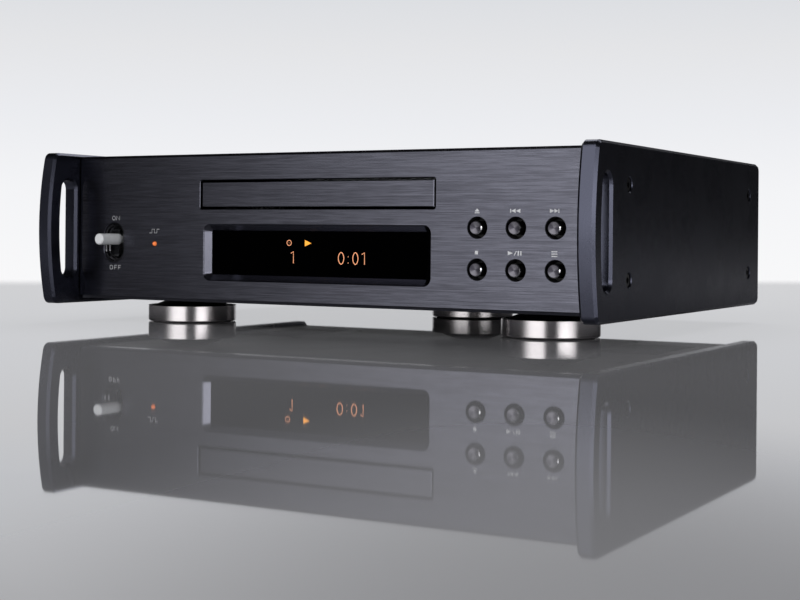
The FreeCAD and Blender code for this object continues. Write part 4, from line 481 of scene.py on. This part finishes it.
def sign(name, shapes, finish, depth):
    """Flat polygons in X and Z (metres), raised to a thin plate whose front is at depth."""
    mesh = bmesh.new()
    for shape in shapes:
        face = mesh.faces.new([mesh.verts.new((x, FACE + depth + THIN, z)) for x, z in shape])
        pushed = bmesh.ops.extrude_face_region(mesh, geom=[face])
        moved = [v for v in pushed["geom"] if isinstance(v, bmesh.types.BMVert)]
        bmesh.ops.translate(mesh, verts=moved, vec=(0, -THIN, 0))
    bmesh.ops.recalc_face_normals(mesh, faces=mesh.faces)
    return finished(name, mesh, finish, "cabinet", smooth=False)


def bar(x0, x1, z0, z1):
    return [(x0, z0), (x1, z0), (x1, z1), (x0, z1)]


def fitted(points, x0, x1, z0, z1):
    """Fit points of a unit square into a box on the panel."""
    return [(x0 + (x1 - x0) * x, z0 + (z1 - z0) * z) for x, z in points]


print_white = grained("print_white", (0.80, 0.81, 0.83), 0.5, grain=1200.0, depth=0.0, spread=0.04)
SIGNS = {
    "mark_eject": ([[(0.0, 0.38), (1.0, 0.38), (0.5, 1.0)], bar(0.0, 1.0, 0.0, 0.2)],
                   (0.0820, 0.0842, 0.0541, 0.0562)),
    "mark_previous": ([bar(0.0, 0.08, 0.0, 1.0), [(0.52, 0.0), (0.52, 1.0), (0.1, 0.5)],
                       [(1.0, 0.0), (1.0, 1.0), (0.56, 0.5)]], (0.0986, 0.1032, 0.0543, 0.0560)),
    "mark_next": ([bar(0.92, 1.0, 0.0, 1.0), [(0.0, 0.0), (0.44, 0.5), (0.0, 1.0)],
                   [(0.48, 0.0), (0.9, 0.5), (0.48, 1.0)]], (0.1166, 0.1208, 0.0543, 0.0560)),
    "mark_stop": ([bar(0.0, 1.0, 0.0, 1.0)], (0.0822, 0.0837, 0.0367, 0.0382)),
    "mark_play": ([[(0.0, 0.0), (0.38, 0.5), (0.0, 1.0)],
                   [(0.44, 0.0), (0.50, 0.0), (0.65, 1.0), (0.59, 1.0)],
                   bar(0.72, 0.82, 0.0, 1.0), bar(0.90, 1.0, 0.0, 1.0)], (0.0976, 0.1039, 0.0365, 0.0383)),
    "mark_menu": ([bar(0.0, 1.0, z, z + 0.18) for z in (0.0, 0.41, 0.82)],
                  (0.1175, 0.1201, 0.0361, 0.0385)),
}
for name, (shapes, room) in SIGNS.items():
    sign(name, [fitted(shape, *room) for shape in shapes], print_white, -THIN)
print(len(SIGNS), "signs")

# %% [markdown]
# ## Lines of ink and of light
# ON, OFF and the square wave over the small lamp are printed in thin even strokes, and the display writes its
# figures in strokes of light. A stroke is a curve with a round bevel, made a mesh and pressed flat, so that a
# nought is an oval line and a one is a flag and a stem, as on such players.


# %% Strokes
FLATTEN = (1.0, 0.1, 1.0)


def strokes(name, lines, width, finish, depth):
    """Lines of (x, z) points, the closed ones joined end to end, laid on a face at a depth."""
    curve = bpy.data.curves.new(name + "_line", "CURVE")
    curve.dimensions = "3D"
    curve.bevel_depth, curve.bevel_resolution, curve.use_fill_caps = width / 2, 2, True
    for points, closed in lines:
        spline = curve.splines.new("NURBS" if closed else "POLY")
        spline.points.add(len(points) - 1)
        for point, (x, z) in zip(spline.points, points):
            point.co = (x, 0.0, z, 1.0)
        spline.use_cyclic_u = closed
        spline.order_u, spline.resolution_u = 3, 6
    holder = bpy.data.objects.new(name + "_line", curve)
    bpy.context.scene.collection.objects.link(holder)
    bpy.context.view_layer.update()
    shown = holder.evaluated_get(bpy.context.evaluated_depsgraph_get())
    data = bpy.data.meshes.new_from_object(shown)
    bpy.data.objects.remove(holder)
    mesh = bmesh.new()
    mesh.from_mesh(data)
    bmesh.ops.scale(mesh, verts=mesh.verts, vec=FLATTEN)
    bmesh.ops.translate(mesh, verts=mesh.verts, vec=(0.0, FACE + depth, 0.0))
    bmesh.ops.recalc_face_normals(mesh, faces=mesh.faces)
    return finished(name, mesh, finish, "cabinet")


def nought(x0, x1, z0, z1):
    """An upright oval."""
    middle, quarter, reach = (x0 + x1) / 2, (z1 - z0) * 0.25, (z1 - z0) * 0.083
    return [(x0, z0 + quarter), (x0, z1 - quarter), (middle, z1 + reach), (x1, z1 - quarter),
            (x1, z0 + quarter), (middle, z0 - reach)], True


def one(x0, x1, z0, z1):
    """A flag and a stem."""
    return [(x0, z1 - (z1 - z0) * 0.14), (x1, z1), (x1, z0)], False


def path(x0, x1, z0, z1, *steps):
    """An open line through points of a unit square, fitted into a box."""
    return fitted(steps, x0, x1, z0, z1), False


# %% Printed lines
def letter_f(x, z0, z1):
    """A stem with its top arm, and a shorter middle arm."""
    return [path(x, x + 0.0015, z0, z1, (0, 0), (0, 1), (1, 1)),
            path(x, x + 0.0013, z0, z1, (0, 0.5), (1, 0.5))]


INK, FINE_INK = 0.0002, 0.00017
ON_ROW, OFF_ROW = (0.0506, 0.0526), (0.0265, 0.0285)
PRINTED = {
    "word_on": ([nought(-0.1163, -0.1145, *ON_ROW),
                 path(-0.1138, -0.1118, *ON_ROW, (0, 0), (0, 1), (1, 0), (1, 1))], FINE_INK),
    "word_off": ([nought(-0.1177, -0.1159, *OFF_ROW), *letter_f(-0.1148, *OFF_ROW),
                  *letter_f(-0.1124, *OFF_ROW)], INK),
    "mark_clock": ([path(-0.0932, -0.0872, 0.0445, 0.0463, (0, 0), (0.25, 0), (0.25, 1), (0.5, 1),
                         (0.5, 0), (0.75, 0), (0.75, 1), (1, 1))], INK),
}
for name, (lines, width) in PRINTED.items():
    strokes(name, lines, width, print_white, 0.0)
print(len(PRINTED), "printed lines")

# %% Figures of light
# The window's depth behind the face, the widths of the strokes, and where the figures and the disc sign are
GLASS = 0.0037
LIT, LIT_DOT, LIT_RING = 0.00037, 0.00062, 0.0003
LOW, HIGH = 0.0312, 0.0365
DISC_X, DISC_Z, DISC_RADIUS, DOT = -0.0148, 0.0405, 0.0013, 0.0001
ring = [(DISC_X + DISC_RADIUS * math.cos(k * math.pi / 4), DISC_Z + DISC_RADIUS * math.sin(k * math.pi / 4))
        for k in range(8)]
FIGURES = {
    "track_figure": ([one(-0.0138, -0.0124, LOW, HIGH)], LIT),
    "time_figures": ([nought(0.0118, 0.0147, LOW, HIGH), nought(0.0194, 0.0221, LOW, HIGH),
                      one(0.0241, 0.0255, LOW, HIGH)], LIT),
    "time_colon": ([([(0.0170 - DOT, z), (0.0170 + DOT, z)], False) for z in (0.0318, 0.0346)], LIT_DOT),
    "disc_sign": ([(ring, True), ([(DISC_X, DISC_Z - DOT), (DISC_X, DISC_Z + DOT)], False)], LIT_RING),
}
for name, (lines, width) in FIGURES.items():
    strokes(name, lines, width, peach, GLASS)
PLAY = [(-0.0062, 0.0390), (-0.0027, 0.04045), (-0.0062, 0.0419)]
sign("play_sign", [PLAY], amber, GLASS - THIN)
print("display written")

# %% [markdown]
# ## Floor, light and camera
# The object stands on a glossy pale floor that fades into a bright background. The background is the world: a
# pale gradient for the camera, and for reflections only a bright screen behind the object, so that the black
# sides stay black.

# %% The camera
WIDTH, HEIGHT = 800.0, 600.0
FOCAL, HORIZON = 1470.4, 233.9
YAW, ROLL = math.radians(29.365), math.radians(0.503)
ahead = Vector((-math.sin(YAW), math.cos(YAW), 0.0))
right = Vector((math.cos(YAW), math.sin(YAW), 0.0))
up = Vector((0.0, 0.0, 1.0))
across = right * math.cos(ROLL) + up * math.sin(ROLL)
upward = up * math.cos(ROLL) - right * math.sin(ROLL)
eye = Vector((0.36056, -0.65890, 0.04507))
lens = bpy.data.cameras.new("camera")
lens.sensor_width = 36.0
lens.lens = FOCAL * lens.sensor_width / WIDTH
lens.shift_x = 0.0
lens.shift_y = -(HEIGHT / 2 - HORIZON) / WIDTH
lens.clip_start = 0.02
camera = bpy.data.objects.new("camera", lens)
camera.matrix_world = Matrix((
    (across.x, upward.x, -ahead.x, eye.x), (across.y, upward.y, -ahead.y, eye.y),
    (across.z, upward.z, -ahead.z, eye.z), (0.0, 0.0, 0.0, 1.0)))
bpy.context.scene.collection.objects.link(camera)
bpy.context.scene.camera = camera
print("camera at", tuple(round(v, 3) for v in eye))


# %% The floor
REACH, HALF_SHEET = 1.8, 2.5


def floor_piece():
    """A flat sheet that reaches 1.8 m from the camera's place. Its finish fades out before that."""
    mesh = bmesh.new()
    bmesh.ops.create_grid(mesh, x_segments=2, y_segments=2, size=HALF_SHEET)
    middle = Vector((eye.x, eye.y, 0.0)) + ahead * (REACH - HALF_SHEET)
    turn = Matrix(((right.x, ahead.x, 0.0), (right.y, ahead.y, 0.0), (0.0, 0.0, 1.0)))
    for v in mesh.verts:
        v.co = turn @ v.co + middle
    data = bpy.data.meshes.new("floor")
    mesh.to_mesh(data)
    mesh.free()
    floor = bpy.data.objects.new("floor", data)
    bpy.context.scene.collection.objects.link(floor)
    return floor


def floor_finish():
    """A mirror over a diffuse body. The body is painted darker near the camera's place, as painted shade, and
    paler to either side, as painted light, where the mirror is also weaker.

    Along and side are metres on the table from a spot just ahead of the camera's place, where it is least
    polished.
    """
    finish = Finish("floor_gloss", (0.3, 0.3, 0.3), 0.3)
    painted_grade_origin = tuple(eye + ahead * 0.13 + right * 0.03)
    offset = finish.vector("SUBTRACT", finish.place(), painted_grade_origin)
    along = finish.vector("DOT_PRODUCT", offset, tuple(ahead), "Value")
    side = finish.vector("DOT_PRODUCT", offset, tuple(right), "Value")
    oval = finish.add("ShaderNodeCombineXYZ", {}, {"X": along / 0.30, "Y": side / 0.11})
    away = finish.vector("LENGTH", oval, (0.0, 0.0, 0.0), "Value")
    # Painted light: to either side the floor is painted paler, and its mirror is weaker there.
    painted_light_sides = (side.math("ABSOLUTE") - along * 0.28).ramp(0.08, 0.30)
    # Painted shade: the body is darker near the camera's place.
    painted_shade_body = finish.blend(along.ramp(0.02, 0.40), (0.302, 0.302, 0.316), (0.388, 0.388, 0.406))
    painted_light_and_shade = finish.blend(painted_light_sides, painted_shade_body, (0.60, 0.60, 0.61))
    body = finish.add("ShaderNodeBsdfDiffuse", {}, {"Color": painted_light_and_shade})
    mirror = finish.add("ShaderNodeBsdfGlossy", {}, {"Color": (1.0, 1.0, 1.0), "Roughness": 0.025})
    gloss = finish.add("ShaderNodeFresnel", {}, {"IOR": 1.9}) * 1.35
    polish = (away.ramp(0.15, 1.0) * 0.75 + 0.25) * (1 - painted_light_sides * 0.9)
    share = gloss.math("MINIMUM", 0.62) * polish
    mixed = finish.add("ShaderNodeMixShader", {}, {0: share, 1: body, 2: mirror})
    fade = (along - side * 0.266).ramp(1.14, 1.35)
    clear = finish.add("ShaderNodeBsdfTransparent", {}, {})
    shown = finish.add("ShaderNodeMixShader", {}, {0: fade, 1: mixed, 2: clear})
    finish.feed(finish.tree.nodes["Material Output"].inputs["Surface"], shown)
    return finish.material


floor = floor_piece()
floor.data.materials.append(floor_finish())


# %% The world
SKY = [(0.0, (0.96, 0.96, 0.965)), (0.30, (0.90, 0.905, 0.925)), (0.46, (0.83, 0.84, 0.87)),
       (0.62, (0.775, 0.78, 0.80)), (0.73, (0.72, 0.735, 0.765)), (1.0, (0.80, 0.81, 0.83))]


def background(scene_world):
    """A pale gradient for the camera, and a bright screen behind the object in reflections."""
    scene_world.use_nodes = True
    scene_world.node_tree.nodes.clear()
    sky = Nodes(scene_world.node_tree)
    ray = sky.add("ShaderNodeTexCoord", {}, {}, "Generated")
    height = (sky.axis(ray, "Z") + 0.06) / 0.30
    pale = sky.add("ShaderNodeValToRGB", dict(stops=SKY), {0: height})
    screen = sky.vector("DOT_PRODUCT", ray, tuple(ahead), "Value").ramp(0.86, 0.95)
    camera_ray = sky.add("ShaderNodeLightPath", {}, {}, "Is Camera Ray")
    glossy_ray = sky.add("ShaderNodeLightPath", {}, {}, "Is Glossy Ray")
    plain = sky.blend(glossy_ray, (0.13, 0.13, 0.135), (0.02, 0.02, 0.022))
    shown = camera_ray.math("MAXIMUM", glossy_ray * screen)
    colour = sky.blend(shown, plain, pale)
    shader = sky.add("ShaderNodeBackground", {}, {"Color": colour, "Strength": 1.0})
    sky.add("ShaderNodeOutputWorld", {}, {"Surface": shader})


world = bpy.data.worlds.new("background")
bpy.context.scene.world = world
background(world)
bpy.context.scene.view_settings.view_transform = "Standard"
print("background set")


# %% Lamps
def softbox(name, place, target, width, height, power):
    """A white rectangular area lamp that looks at a point. The camera doesn't see it."""
    lamp = bpy.data.lights.new(name, "AREA")
    lamp.shape = "RECTANGLE"
    lamp.size, lamp.size_y, lamp.energy = width, height, power
    holder = bpy.data.objects.new(name, lamp)
    holder.location = place
    holder.rotation_euler = (Vector(target) - Vector(place)).to_track_quat("-Z", "Y").to_euler()
    holder.visible_camera = False
    bpy.context.scene.collection.objects.link(holder)


def graded_box(name, start, end, low, high, shares):
    """An upright softbox over a line on the plan, in strips of their own radiance, facing the object."""
    start, end = Vector(start), Vector(end)
    step = (end - start) / len(shares)
    width, height = step.length, high - low
    inward = Vector((-step.y, step.x, 0.0))
    for k, share in enumerate(shares):
        middle = start + step * (k + 0.5)
        place = Vector((middle.x, middle.y, (low + high) / 2))
        power = share * math.pi * width * height
        softbox(name + str(k), place, place + inward, width, height, power)


FRONT_LINE = (-0.775, -0.882), (0.276, -1.105)
SIDE_LINE = (1.0, -1.105), (1.145, -0.19)
graded_box("front_low", *FRONT_LINE, 0.004, 0.15,
           (0.0, 0.15, 0.6, 1.2, 1.9, 2.4, 2.6, 2.6, 2.6, 2.6, 2.6, 2.6))
graded_box("front_box", *FRONT_LINE, 0.15, 1.15, (0.3, 0.9, 1.5, 1.9, 2.1, 2.1, 2.1, 2.1))
graded_box("side_box", *SIDE_LINE, 0.03, 0.40, (3.0, 3.4, 3.6, 3.6, 3.0, 1.8))
softbox("top_box", (0.0, 0.75, 1.2), (0.0, 0.1, 0.0), 1.3, 0.9, 8.0)
print("lights set")
